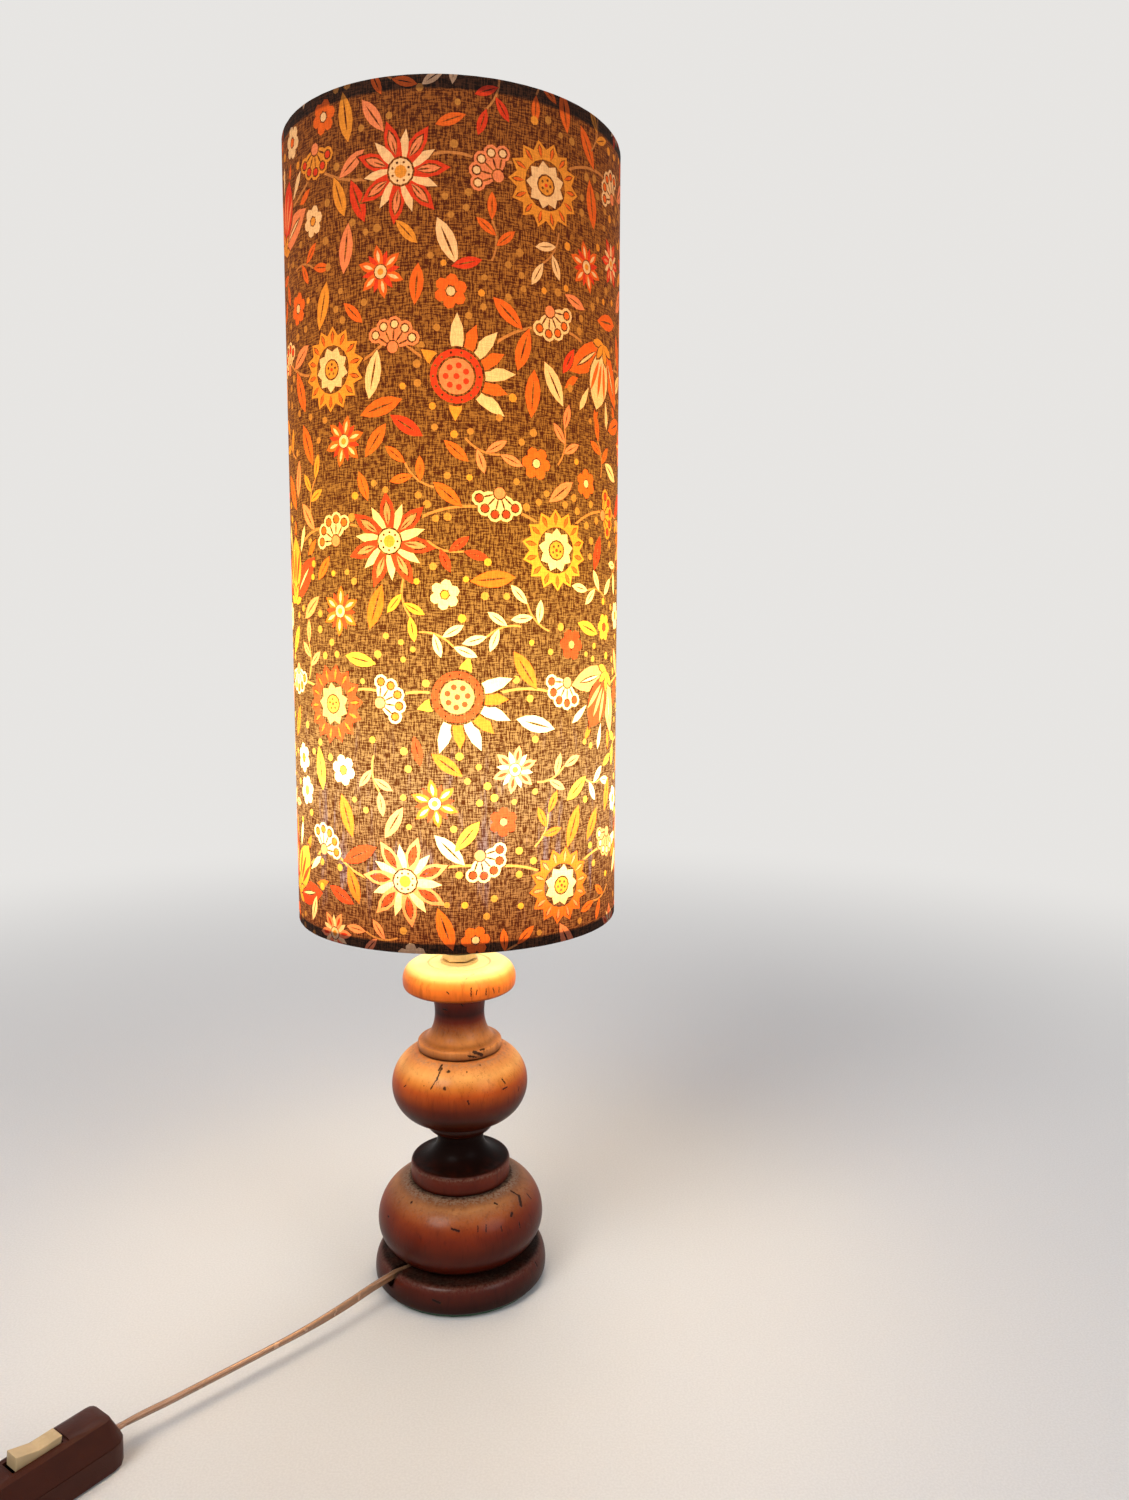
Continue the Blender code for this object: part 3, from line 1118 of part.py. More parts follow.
def smooth_route(points, step):
    """Evenly spaced points on a smooth curve through the chosen ones, keeping both ends."""
    count = len(points)
    dense = [points[0]]
    for here in range(count - 1):
        start = points[here]
        end = points[here + 1]
        before = points[here - 1] if here else start * 2 - end
        after = points[here + 2] if here + 2 < count else end * 2 - start
        first_handle = start + (end - before) / 6
        second_handle = end - (after - start) / 6
        for part in range(1, 17):
            share = part / 16
            rest = 1 - share
            dense.append(
                start * rest**3
                + first_handle * (3 * rest**2 * share)
                + second_handle * (3 * rest * share**2)
                + end * share**3
            )
    lengths = [0.0]
    for near, far in zip(dense, dense[1:]):
        lengths.append(lengths[-1] + (far - near).length)
    runs = max(2, round(lengths[-1] / step))
    route = []
    index = 0
    for run in range(runs + 1):
        target = lengths[-1] * run / runs
        while index < len(dense) - 2 and lengths[index + 1] < target:
            index += 1
        share = (target - lengths[index]) / (lengths[index + 1] - lengths[index])
        route.append(dense[index].lerp(dense[index + 1], min(share, 1)))
    return route


def flex(name, route, radius, material, resolution=CORD_SIDES_RESOLUTION, parent=None):
    """A round tube along a route of points, with closed ends."""
    curve = bpy.data.curves.new(name, "CURVE")
    curve.dimensions = "3D"
    curve.bevel_depth = radius
    curve.bevel_resolution = resolution
    curve.use_fill_caps = True
    spline = curve.splines.new("POLY")
    spline.points.add(len(route) - 1)
    for point, place in zip(spline.points, route):
        point.co = (*place, 1)
    curve.materials.append(material)
    tube = bpy.data.objects.new(name, curve)
    bpy.context.collection.objects.link(tube)
    tube.parent = parent
    return tube


def cord_outward():
    return Vector((math.cos(CORD_ANGLE), math.sin(CORD_ANGLE), 0))


def make_inner_cord(finishes):
    """The flex inside the lamp: in along the foot's slot, round a bend and up the tube."""
    outward = cord_outward()
    bend_centre_height = CORD_EXIT_HEIGHT + INNER_BEND_RADIUS
    route = [outward * (PLINTH_RADIUS - GAP) + UP * CORD_EXIT_HEIGHT]
    run = PLINTH_RADIUS - INNER_BEND_RADIUS
    straight_parts = max(2, round(run / (CORD_RADIUS * 2 * CORD_STEP_IN_DIAMETERS)))
    for part in range(1, straight_parts):
        along = PLINTH_RADIUS - run * part / straight_parts
        route.append(outward * along + UP * CORD_EXIT_HEIGHT)
    bend_parts = 6
    for part in range(bend_parts + 1):
        angle = math.radians(90) * part / bend_parts
        along = INNER_BEND_RADIUS * (1 - math.sin(angle))
        height = bend_centre_height - INNER_BEND_RADIUS * math.cos(angle)
        route.append(outward * along + UP * height)
    top = INSERT_BOTTOM - TERMINAL_HEAD_HEIGHT - GAP * 2
    climb = top - bend_centre_height
    parts = 6
    for part in range(1, parts + 1):
        route.append(UP * (bend_centre_height + climb * part / parts))
    flex("inner_cord", route, CORD_RADIUS, finishes["gold_flex"])


def make_lamp_stretch(finishes):
    """The visible stretch, nearly straight, from the foot to the switch."""
    outward = cord_outward()
    start = outward * PLINTH_RADIUS + UP * CORD_EXIT_HEIGHT
    case_face = SWITCH_END + UP * CORD_HEIGHT
    points = [start]
    points += [Vector(place) for place in LAMP_STRETCH_ROUTE]
    points += [case_face - SWITCH_AXIS * CORD_RADIUS * 2, case_face]
    points.append(case_face + SWITCH_AXIS * CORD_IN_SWITCH)
    route = smooth_route(points, CORD_RADIUS * 2 * CORD_STEP_IN_DIAMETERS)
    flex("cord_lamp_to_switch", route, CORD_RADIUS, finishes["gold_flex"])


def coil_centre():
    """The coil's centre: the flex meets it in a straight line from the switch."""
    outer = coil_radii()[0]
    right = Vector((SWITCH_AXIS.y, -SWITCH_AXIS.x, 0))
    far_end = SWITCH_END + SWITCH_AXIS * SWITCH_LENGTH
    return far_end + SWITCH_AXIS * COIL_LEAD_IN + right * outer


def coil_radii():
    pitch = CORD_RADIUS * 2 + COIL_LOOP_GAP
    spread = pitch * COIL_LOOPS / COIL_LAYERS
    return COIL_MIDDLE_RADIUS + spread / 2, COIL_MIDDLE_RADIUS - spread / 2


def coil_route():
    """The coil's centre line: in and out at a steady rate, climbing a layer where it reverses."""
    outer, inner = coil_radii()
    pitch = CORD_RADIUS * 2 + COIL_LOOP_GAP
    centre = coil_centre()
    loops_per_layer = COIL_LOOPS / COIL_LAYERS
    right = Vector((SWITCH_AXIS.y, -SWITCH_AXIS.x, 0))
    start_angle = math.atan2(-right.y, -right.x)
    count = round(COIL_LOOPS * COIL_POINTS_PER_LOOP)
    route = []
    for number in range(count + 1):
        turns = COIL_LOOPS * number / count
        layer = turns / loops_per_layer
        whole = min(int(layer), COIL_LAYERS - 1)
        share = layer - whole
        radius = outer + (inner - outer) * share if whole % 2 == 0 else inner + (outer - inner) * share
        nearest = min(max(round(layer), 1), COIL_LAYERS - 1)
        past = (layer - nearest) * loops_per_layer
        climb = min(max(past * 2 + 1 / 2, 0), 1)
        height = (nearest - 1 + climb) * pitch
        angle = start_angle - math.tau * turns
        place = centre + Vector((math.cos(angle), math.sin(angle), 0)) * radius
        route.append(place + UP * (COIL_BASE + CORD_RADIUS + height))
    return route


def make_coil(finishes):
    """The rest of the lead, wound into a neat coil held by a tie."""
    route = coil_route()
    outward = (route[-1] - coil_centre()).to_2d().normalized()
    leave = Vector((outward.y, -outward.x, 0))
    start = route[0] - SWITCH_AXIS * COIL_END_STRAIGHT
    end = route[-1] + leave * COIL_END_STRAIGHT
    whole = [start] + route + [end]
    flex("cord_coil", whole, CORD_RADIUS, finishes["gold_flex"], resolution=1)
    report_coil_gap(whole)
    make_coil_tie(finishes, route)
    return start, end, leave


def report_coil_gap(route):
    """Prints the least gap between loops that aren't neighbours along the flex."""
    fewest = COIL_POINTS_PER_LOOP // 2
    least = min(
        (route[one] - route[two]).length
        for one in range(len(route))
        for two in range(one + fewest, len(route))
    )
    length = sum((far - near).length for near, far in zip(route, route[1:]))
    print(f"coil: least gap {1000 * (least - CORD_RADIUS * 2):.2f} mm, length {length:.3f} m")


def make_coil_tie(finishes, route):
    """A flat band round the coil's bundle at one place."""
    outer, inner = coil_radii()
    centre = coil_centre()
    room = CORD_RADIUS + TIE_CLEARANCE
    width = outer - inner + 2 * room
    bottom = COIL_BASE - TIE_CLEARANCE
    top = max(point.z for point in route) + room
    middle_radius = (outer + inner) / 2
    middle = (bottom + top) / 2
    inside_size = (width, top - bottom)
    outside_size = (width + 2 * TIE_THICKNESS, top - bottom + 2 * TIE_THICKNESS)
    loops = []
    for size, corner, across in (
        (inside_size, TIE_CORNER, -TIE_WIDTH / 2),
        (outside_size, TIE_CORNER + TIE_THICKNESS, -TIE_WIDTH / 2),
        (outside_size, TIE_CORNER + TIE_THICKNESS, TIE_WIDTH / 2),
        (inside_size, TIE_CORNER, TIE_WIDTH / 2),
    ):
        flat = rounded_rectangle(size[0], size[1], corner, 0)
        loops.append([Vector((middle_radius + point.x, across, middle + point.y)) for point in flat])
    place = Matrix.Translation(centre) @ Matrix.Rotation(TIE_ANGLE, 4, "Z")
    looped("coil_tie", loops, finishes["black_plastic"], matrix=place)


def make_coil_stretches(finishes, coil_start, coil_end, leave):
    """The stretch from the switch to the coil, and the one from the coil to the plug."""
    far_end = SWITCH_END + SWITCH_AXIS * SWITCH_LENGTH
    inside = far_end - SWITCH_AXIS * CORD_IN_SWITCH + UP * CORD_HEIGHT
    face = far_end + SWITCH_AXIS * CORD_RADIUS * 2 + UP * CORD_HEIGHT
    entry = coil_start - SWITCH_AXIS * GAP
    before = entry - SWITCH_AXIS * CORD_RADIUS * 2
    middle = face.lerp(before, 1 / 2)
    step = CORD_RADIUS * 2 * CORD_STEP_IN_DIAMETERS
    route = smooth_route([inside, face, middle, before, entry], step)
    flex("cord_switch_to_coil", route, CORD_RADIUS, finishes["gold_flex"])
    start = coil_end + leave * GAP
    relief = start + leave * PLUG_TAIL
    relief.z = PLUG_THICKNESS / 2
    first = start + leave * CORD_RADIUS * 2
    last = relief - leave * CORD_RADIUS * 2
    between = first.lerp(last, 1 / 2)
    route = smooth_route([start, first, between, last, relief - leave * GAP], step)
    flex("cord_coil_to_plug", route, CORD_RADIUS, finishes["gold_flex"])
    return relief


def make_plug(finishes, start, heading):
    """The flat two-pin plug, its cord end at the start point."""
    frame = empty("plug_frame", Vector((start.x, start.y, 0)), math.atan2(heading.y, heading.x))
    middle = PLUG_THICKNESS / 2
    whole = PLUG_RELIEF_LENGTH + PLUG_LENGTH
    relief = PLUG_RELIEF_THICKNESS
    plan_shares = (
        (0.0, 0.0, 1.0, 0.0),
        (0.0, 1.0, 1.12, 0.0),
        (0.04, 1.0, 0.0, 0.62),
        (0.30, 1.0, 0.0, 0.74),
        (0.62, 1.0, 0.0, 0.84),
        (0.97, 1.0, 0.0, 1.0),
        (1.0, 1.0, 0.0, 0.96),
    )
    loops = []
    for body_share, relief_share, relief_size_share, width_share in plan_shares:
        along = PLUG_RELIEF_LENGTH * relief_share + PLUG_LENGTH * body_share
        if width_share:
            width = PLUG_WIDTH * width_share
            height = PLUG_THICKNESS
            corner = PLUG_THICKNESS * 0.30
        else:
            width = relief * relief_size_share
            height = relief * relief_size_share * 0.85
            corner = height * 0.45
        flat = rounded_rectangle(width, height, corner, 0)
        loops.append([Vector((along, point.x, middle + point.y)) for point in flat])
    body = lofted("plug_body", loops, finishes["brown_plastic"], frame)
    for name, side in (("plug_pin_left", -1), ("plug_pin_right", 1)):
        across = side * PIN_SPACING / 2
        seat = Vector((whole - PIN_SEAT, across, middle))
        tip = Vector((whole + PIN_LENGTH, across, middle))
        over = Vector((whole + OVERRUN, across, middle))
        hole_start = seat - Vector((GAP, 0, 0))
        hole_radius = PIN_RADIUS + GAP
        cut(body, round_bar(f"{name}_cutter", hole_start, over, hole_radius, TINY_COLUMNS, parent=frame))
        round_bar(name, seat, tip, PIN_RADIUS, TINY_COLUMNS, finishes["brass"], frame)


def main():
    clear_scene()
    finishes = make_finishes()
    make_felt(finishes)
    make_plinth(finishes)
    make_plinth_screws(finishes)
    make_lower_ball(finishes)
    make_lower_neck(finishes)
    make_upper_ball(finishes)
    make_upper_neck(finishes)
    make_top_cap(finishes)
    make_tie_tube(finishes)
    make_holder(finishes)
    make_bulb(finishes)
    make_shade(finishes)
    make_inner_cord(finishes)
    make_switch(finishes)
    make_lamp_stretch(finishes)
    coil_start, coil_end, leave = make_coil(finishes)
    plug_start = make_coil_stretches(finishes, coil_start, coil_end, leave)
    make_plug(finishes, plug_start, leave)


main()
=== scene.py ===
"""The looks of the turned wooden table lamp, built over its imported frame, in metres."""

import json
import math
import random

import bmesh
import bpy
from mathutils import Matrix, Vector, geometry


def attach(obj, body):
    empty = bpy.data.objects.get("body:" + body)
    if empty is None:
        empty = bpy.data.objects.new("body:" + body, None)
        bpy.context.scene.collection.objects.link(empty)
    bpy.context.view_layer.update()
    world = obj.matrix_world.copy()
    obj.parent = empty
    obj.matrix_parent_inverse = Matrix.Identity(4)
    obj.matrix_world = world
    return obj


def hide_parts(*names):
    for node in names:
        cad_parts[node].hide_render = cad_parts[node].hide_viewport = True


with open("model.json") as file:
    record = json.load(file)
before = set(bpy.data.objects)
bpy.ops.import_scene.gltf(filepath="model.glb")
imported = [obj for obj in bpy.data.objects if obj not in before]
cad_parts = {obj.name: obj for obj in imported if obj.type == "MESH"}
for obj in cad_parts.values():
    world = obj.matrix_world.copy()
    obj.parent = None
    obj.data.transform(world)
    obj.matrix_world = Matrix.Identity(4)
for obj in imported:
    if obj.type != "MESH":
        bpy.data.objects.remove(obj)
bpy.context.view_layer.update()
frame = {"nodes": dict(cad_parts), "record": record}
scene = bpy.context.scene
UP = Vector((0, 0, 1))

# Camera, fitted to the photograph
IMAGE_WIDTH = 1129
IMAGE_HEIGHT = 1500
FOCAL_PIXELS = 1086
CAMERA_PLACE = Vector((0.0608, -0.6152, 0.3800))
CAMERA_PITCH = math.radians(6.19)
CAMERA_ROLL = math.radians(0.21)

# Sizes of the part that the pieces here follow
FELT_TOP = 0.0018
FOOT_BORE = 0.0150
TUBE_BORE = 0.0053
SLOT_ANGLE = math.radians(-138)
SLOT_OUTWARD = Vector((math.cos(SLOT_ANGLE), math.sin(SLOT_ANGLE), 0))
SLOT_HALF = 0.0028
SLOT_FLOOR = 0.0096
SHADE_RADIUS = 0.0902
SHADE_BOTTOM = 0.2205
SHADE_TOP = 0.6333
SWITCH_ANGLE = math.radians(-125.3)
SWITCH_AXIS = Vector((math.cos(SWITCH_ANGLE), math.sin(SWITCH_ANGLE), 0))
FLEX_WIDTH = 0.0050
FLEX_THICKNESS = 0.0028

SMOOTH_ANGLE = math.radians(34)
WOOD_COLUMNS = 192
FLOOR_RADIUS = 12.0
FLOOR_DROP = 0.0002
LIGHT_TARGET = Vector((0, 0, 0.28))
PALE = (0.80, 0.785, 0.765, 1)


# Camera, floor and light


def make_camera():
    data = bpy.data.cameras.new("camera")
    data.sensor_fit = "VERTICAL"
    data.sensor_height = 36
    data.lens = FOCAL_PIXELS / IMAGE_HEIGHT * data.sensor_height
    camera = bpy.data.objects.new("camera", data)
    scene.collection.objects.link(camera)
    pitch = Matrix.Rotation(math.radians(90) - CAMERA_PITCH, 4, "X")
    roll = Matrix.Rotation(CAMERA_ROLL, 4, "Z")
    camera.matrix_world = Matrix.Translation(CAMERA_PLACE) @ pitch @ roll
    scene.camera = camera
    return camera


def pixel_ray(camera, x, y):
    """Direction of the ray through a pixel of the photograph."""
    local = Vector((x - IMAGE_WIDTH / 2, IMAGE_HEIGHT / 2 - y, -FOCAL_PIXELS))
    return (camera.matrix_world.to_3x3() @ local).normalized()


def add_area_light(name, place, size, power, colour):
    """A round light that faces a place low in the shade, where the bulb is."""
    data = bpy.data.lights.new(name, "AREA")
    data.shape = "DISK"
    data.size = size
    data.energy = power
    data.color = colour
    light = bpy.data.objects.new(name, data)
    scene.collection.objects.link(light)
    light.location = place
    light.rotation_euler = (LIGHT_TARGET - light.location).to_track_quat("-Z", "Y").to_euler()


class Graph:
    """Builds the nodes of one material, or of the world."""

    def __init__(self, name, home=bpy.data.materials):
        self.owner = home.new(name)
        self.owner.use_nodes = True
        self.tree = self.owner.node_tree

    def feed(self, socket, value):
        if isinstance(value, bpy.types.NodeSocket):
            self.tree.links.new(value, socket)
        else:
            socket.default_value = value

    def node(self, kind, inputs=(), **settings):
        node = self.tree.nodes.new("ShaderNode" + kind)
        for setting, value in settings.items():
            setattr(node, setting, value)
        for place, value in dict(inputs).items():
            self.feed(node.inputs[place], value)
        return node

    def calculate(self, operation, values, clamp=False):
        inputs = dict(enumerate(values))
        return self.node("Math", inputs, operation=operation, use_clamp=clamp).outputs[0]

    def plus(self, *values, clamp=False):
        return self.calculate("ADD", values, clamp)

    def minus(self, *values):
        return self.calculate("SUBTRACT", values)

    def times(self, *values, clamp=False):
        return self.calculate("MULTIPLY", values, clamp)

    def larger(self, *values):
        return self.calculate("MAXIMUM", values)

    def vector(self, operation, *values, scale=None):
        inputs = dict(enumerate(values))
        if scale is not None:
            inputs["Scale"] = scale
        node = self.node("VectorMath", inputs, operation=operation)
        return node.outputs["Value" if operation in ("LENGTH", "DISTANCE", "DOT_PRODUCT") else "Vector"]

    def place(self):
        """Position on the piece at rest, in metres."""
        return self.node("TexCoord").outputs["Object"]

    def height(self, place):
        return self.node("SeparateXYZ", {0: place}).outputs[2]

    def stretched(self, place, *scale):
        return self.vector("MULTIPLY", place, scale)

    def noise(self, place, scale, detail=3.0, roughness=0.5, distortion=0.0):
        inputs = {"Vector": place, "Scale": scale, "Detail": detail}
        inputs.update({"Roughness": roughness, "Distortion": distortion})
        return self.node("TexNoise", inputs).outputs[0]

    def range(self, value, low, high, to_low=0.0, to_high=1.0, smooth=True):
        inputs = {"Value": value, 1: low, 2: high, 3: to_low, 4: to_high}
        kind = "SMOOTHSTEP" if smooth else "LINEAR"
        return self.node("MapRange", inputs, interpolation_type=kind).outputs[0]

    def mix(self, share, one, two):
        node = self.node("Mix", data_type="RGBA")
        self.feed(node.inputs[0], share)
        self.feed(node.inputs[6], (*one, 1) if isinstance(one, tuple) else one)
        self.feed(node.inputs[7], (*two, 1) if isinstance(two, tuple) else two)
        return node.outputs[2]

    def attribute(self, name, kind="Fac"):
        return self.node("Attribute", attribute_name=name).outputs[kind]

    def bump(self, height, distance, strength):
        return self.node("Bump", {"Height": height, "Distance": distance, "Strength": strength}).outputs[0]

    def finish(self, **values):
        """Sets the main shader's sockets, and returns the material."""
        shader = self.tree.nodes["Principled BSDF"]
        for name, value in values.items():
            if isinstance(value, tuple):
                value = (*value, 1)
            self.feed(shader.inputs[name.replace("_", " ")], value)
        return self.owner


def make_world():
    """Cool even light, and a pale ground colour wherever the world itself is seen."""
    graph = Graph("world", bpy.data.worlds)
    scene.world = graph.owner
    light = graph.tree.nodes["Background"]
    light.inputs["Color"].default_value = (0.90, 0.92, 1.0, 1)
    light.inputs["Strength"].default_value = 0.33
    seen = graph.node("Background", {"Color": PALE})
    rays = graph.node("LightPath").outputs
    share = graph.larger(rays["Is Camera Ray"], rays["Is Glossy Ray"])
    share = graph.larger(share, rays["Is Transmission Ray"])
    mixed = graph.node("MixShader", {0: share, 1: light.outputs[0], 2: seen.outputs[0]})
    graph.feed(graph.tree.nodes["World Output"].inputs[0], mixed.outputs[0])


def make_floor():
    """A wide pale floor that fades into the same pale world, so that no horizon shows."""
    sheet = bmesh.new()
    bmesh.ops.create_circle(sheet, cap_ends=True, radius=FLOOR_RADIUS, segments=64)
    mesh = bpy.data.meshes.new("floor")
    sheet.to_mesh(mesh)
    sheet.free()
    floor = bpy.data.objects.new("floor", mesh)
    scene.collection.objects.link(floor)
    floor.location = (0, 0, -FLOOR_DROP)
    graph = Graph("pale_floor")
    place = graph.place()
    away = graph.vector("LENGTH", place)
    speckle = graph.noise(place, 900, 2.0)
    colour = graph.mix(graph.range(speckle, 0.3, 0.7), (0.645, 0.635, 0.62), (0.695, 0.685, 0.67))
    graph.finish(Base_Color=colour, Roughness=0.75)
    flat = graph.node("Emission", {"Color": PALE, "Strength": 1.0})
    rays = graph.node("LightPath").outputs
    seen = graph.larger(rays["Is Camera Ray"], rays["Is Glossy Ray"])
    fade = graph.times(graph.range(away, 0.45, 1.35), seen)
    near = graph.tree.nodes["Principled BSDF"].outputs[0]
    mixed = graph.node("MixShader", {0: fade, 1: near, 2: flat.outputs[0]})
    graph.feed(graph.tree.nodes["Material Output"].inputs[0], mixed.outputs[0])
    mesh.materials.append(graph.owner)


def make_lights():
    add_area_light("key", (-0.9, -1.25, 1.85), 1.1, 27, (1.0, 0.97, 0.93))
    add_area_light("fill", (1.5, -1.1, 1.2), 1.2, 10, (0.95, 0.97, 1.0))
    add_area_light("top", (0.2, 0.9, 1.9), 1.0, 9, (1.0, 1.0, 1.0))


# Shapes


def link_mesh(name, sheet, material=None, smooth_angle=SMOOTH_ANGLE):
    bmesh.ops.recalc_face_normals(sheet, faces=sheet.faces[:])
    mesh = bpy.data.meshes.new(name)
    sheet.to_mesh(mesh)
    sheet.free()
    mesh.shade_smooth()
    mesh.set_sharp_from_angle(angle=smooth_angle)
    if material:
        mesh.materials.append(material)
    piece = bpy.data.objects.new(name, mesh)
    scene.collection.objects.link(piece)
    return piece


def bridge(sheet, near, far):
    """Faces between two rings of points."""
    for one in range(len(near)):
        two = (one + 1) % len(near)
        sheet.faces.new((near[one], near[two], far[two], far[one]))


def arc(centre, radii, start, end, steps):
    points = []
    for step in range(steps + 1):
        angle = math.radians(start + (end - start) * step / steps)
        points.append((centre[0] + radii[0] * math.cos(angle), centre[1] + radii[1] * math.sin(angle)))
    return points


def between(a, b, c, d, t):
    """A value between b and c, on a smooth curve that comes from a and goes on to d."""
    return 0.5 * (2 * b + (c - a) * t + (2 * a - 5 * b + 4 * c - d) * t**2 + (3 * b - a - 3 * c + d) * t**3)


def curved(points, steps):
    """Adds points between the given ones on a smooth curve through them."""
    made = []
    last = len(points) - 1
    for here in range(last):
        four = [points[min(max(number, 0), last)] for number in range(here - 1, here + 3)]
        for step in range(steps):
            made.append(tuple(between(*values, step / steps) for values in zip(*four)))
    made.append(tuple(points[-1]))
    return made


def lathe(name, outline, columns):
    """A closed solid of revolution about the lamp's axis."""
    sheet = bmesh.new()
    rings = []
    angles = [math.tau * column / columns for column in range(columns)]
    for radius, height in outline:
        rings.append([sheet.verts.new((radius * math.cos(a), radius * math.sin(a), height)) for a in angles])
    for near, far in zip(rings, rings[1:] + rings[:1]):
        bridge(sheet, near, far)
    return link_mesh(name, sheet)


def softened(node, width, material):
    """A copy of a CAD node with its edges rounded off."""
    sheet = bmesh.new()
    sheet.from_mesh(frame["nodes"][node].data)
    bmesh.ops.remove_doubles(sheet, verts=sheet.verts[:], dist=1e-5)
    flat = math.radians(1.0)
    bmesh.ops.dissolve_limit(sheet, angle_limit=flat, verts=sheet.verts[:], edges=sheet.edges[:])
    piece = link_mesh(f"soft_{node}", sheet, material)
    bevel = piece.modifiers.new("bevel", "BEVEL")
    bevel.width = width
    bevel.segments = 3
    bevel.limit_method = "ANGLE"
    bevel.angle_limit = SMOOTH_ANGLE
    bevel.harden_normals = True
    apply_modifiers(piece)
    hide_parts(node)
    return piece


def apply_modifiers(piece):
    graph = bpy.context.evaluated_depsgraph_get()
    mesh = bpy.data.meshes.new_from_object(piece.evaluated_get(graph))
    old = piece.data
    piece.modifiers.clear()
    piece.data = mesh
    mesh.name = old.name


def smooth_share(value):
    value = min(max(value, 0), 1)
    return value * value * (3 - 2 * value)


def bell_curve(value, middle, spread):
    return math.exp(-(((value - middle) / spread) ** 2))


# Cords: flat twin flex, on edge at the foot, lying flat at the switch

LAMP_STRETCH = (
    (-0.0375, -0.0337, 0.0152),
    (-0.0460, -0.0422, 0.0142),
    (-0.0539, -0.0514, 0.0132),
    (-0.0617, -0.0605, 0.0125),
    (-0.0698, -0.0696, 0.0120),
    (-0.0780, -0.0784, 0.0117),
    (-0.0864, -0.0872, 0.0116),
    (-0.0949, -0.0958, 0.0115),
    (-0.1034, -0.1045, 0.0115),
    (-0.1119, -0.1131, 0.0115),
    (-0.1203, -0.1218, 0.0116),
    (-0.1287, -0.1304, 0.0117),
    (-0.1375, -0.1388, 0.0118),
    (-0.1457, -0.1476, 0.0120),
    (-0.1526, -0.1575, 0.0120),
)
SWITCH_TO_COIL = (
    (-0.1844, -0.2024, 0.0120),
    (-0.1913, -0.2120, 0.0123),
    (-0.1980, -0.2216, 0.0111),
    (-0.2048, -0.2311, 0.0091),
    (-0.2115, -0.2406, 0.0071),
    (-0.2182, -0.2501, 0.0052),
)
COIL_TO_PLUG = (
    (-0.2857, -0.2402, 0.0207),
    (-0.2857, -0.2286, 0.0193),
    (-0.2856, -0.2169, 0.0165),
    (-0.2856, -0.2053, 0.0138),
    (-0.2855, -0.1937, 0.0111),
    (-0.2854, -0.1820, 0.0084),
    (-0.2854, -0.1705, 0.0069),
)
COIL_CENTRE = Vector((-0.25405, -0.24563, 0))
COIL_OUTER = 0.031777
COIL_INNER = 0.020223
COIL_LOOPS = 8 + 145 / 360
COIL_LAYERS = 4
COIL_STEPS = 24
COIL_PITCH = 0.0055
COIL_HEIGHT = 0.0042
INNER_FLEX_HEIGHT = 0.0152
INNER_FLEX_BEND = 0.0180
INNER_FLEX_TOP = 0.2087


def coil_points():
    """The coil's line: in and out at a steady rate, climbing a layer where it reverses."""
    loops_per_layer = COIL_LOOPS / COIL_LAYERS
    start_angle = math.atan2(SWITCH_AXIS.x, -SWITCH_AXIS.y)
    count = round(COIL_LOOPS * COIL_STEPS)
    points = []
    for number in range(count + 1):
        turns = COIL_LOOPS * number / count
        layer = turns / loops_per_layer
        whole = min(int(layer), COIL_LAYERS - 1)
        share = layer - whole
        inward = share if whole % 2 == 0 else 1 - share
        radius = COIL_OUTER + (COIL_INNER - COIL_OUTER) * inward
        nearest = min(max(round(layer), 1), COIL_LAYERS - 1)
        climb = min(max((layer - nearest) * loops_per_layer * 2 + 1 / 2, 0), 1)
        height = COIL_HEIGHT + (nearest - 1 + climb) * COIL_PITCH
        angle = start_angle - math.tau * turns
        points.append(COIL_CENTRE + Vector((radius * math.cos(angle), radius * math.sin(angle), height)))
    return points


def flex_section():
    """The outline of a flat twin flex: two lobes side by side."""
    lobe = FLEX_THICKNESS / 2
    apart = FLEX_WIDTH / 2 - lobe
    points = []
    for side, start in ((1, -128), (-1, 52)):
        for step in range(9):
            angle = math.radians(start + 256 * step / 8)
            points.append((side * apart + lobe * math.cos(angle), lobe * math.sin(angle)))
    return points


def flat_flex(name, points, tilt_at, material, across=None):
    """A flat twin flex along the points. Tilt 0 lies flat and 1 stands on its edge.

    across, for a line that turns upright, is the level direction square to the line's plane.
    """
    section = flex_section()
    line = [Vector(point) for point in curved([tuple(point) for point in points], 3)]
    sheet = bmesh.new()
    rings = []
    for number, point in enumerate(line):
        before = line[max(number - 1, 0)]
        after = line[min(number + 1, len(line) - 1)]
        along = (after - before).normalized()
        side = across or along.cross(UP).normalized()
        top = side.cross(along)
        turn = math.radians(90) * tilt_at(number / (len(line) - 1))
        wide = side * math.cos(turn) + top * math.sin(turn)
        thin = top * math.cos(turn) - side * math.sin(turn)
        rings.append([sheet.verts.new(point + wide * a + thin * b) for a, b in section])
    for near, far in zip(rings, rings[1:]):
        bridge(sheet, near, far)
    for ring in (rings[0], rings[-1]):
        hub = sheet.verts.new(sum((vert.co for vert in ring), Vector()) / len(ring))
        for one, two in zip(ring, ring[1:] + ring[:1]):
            sheet.faces.new((hub, one, two))
    piece = link_mesh(name, sheet, material, math.radians(60))
    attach(piece, "lamp")
    return piece, line


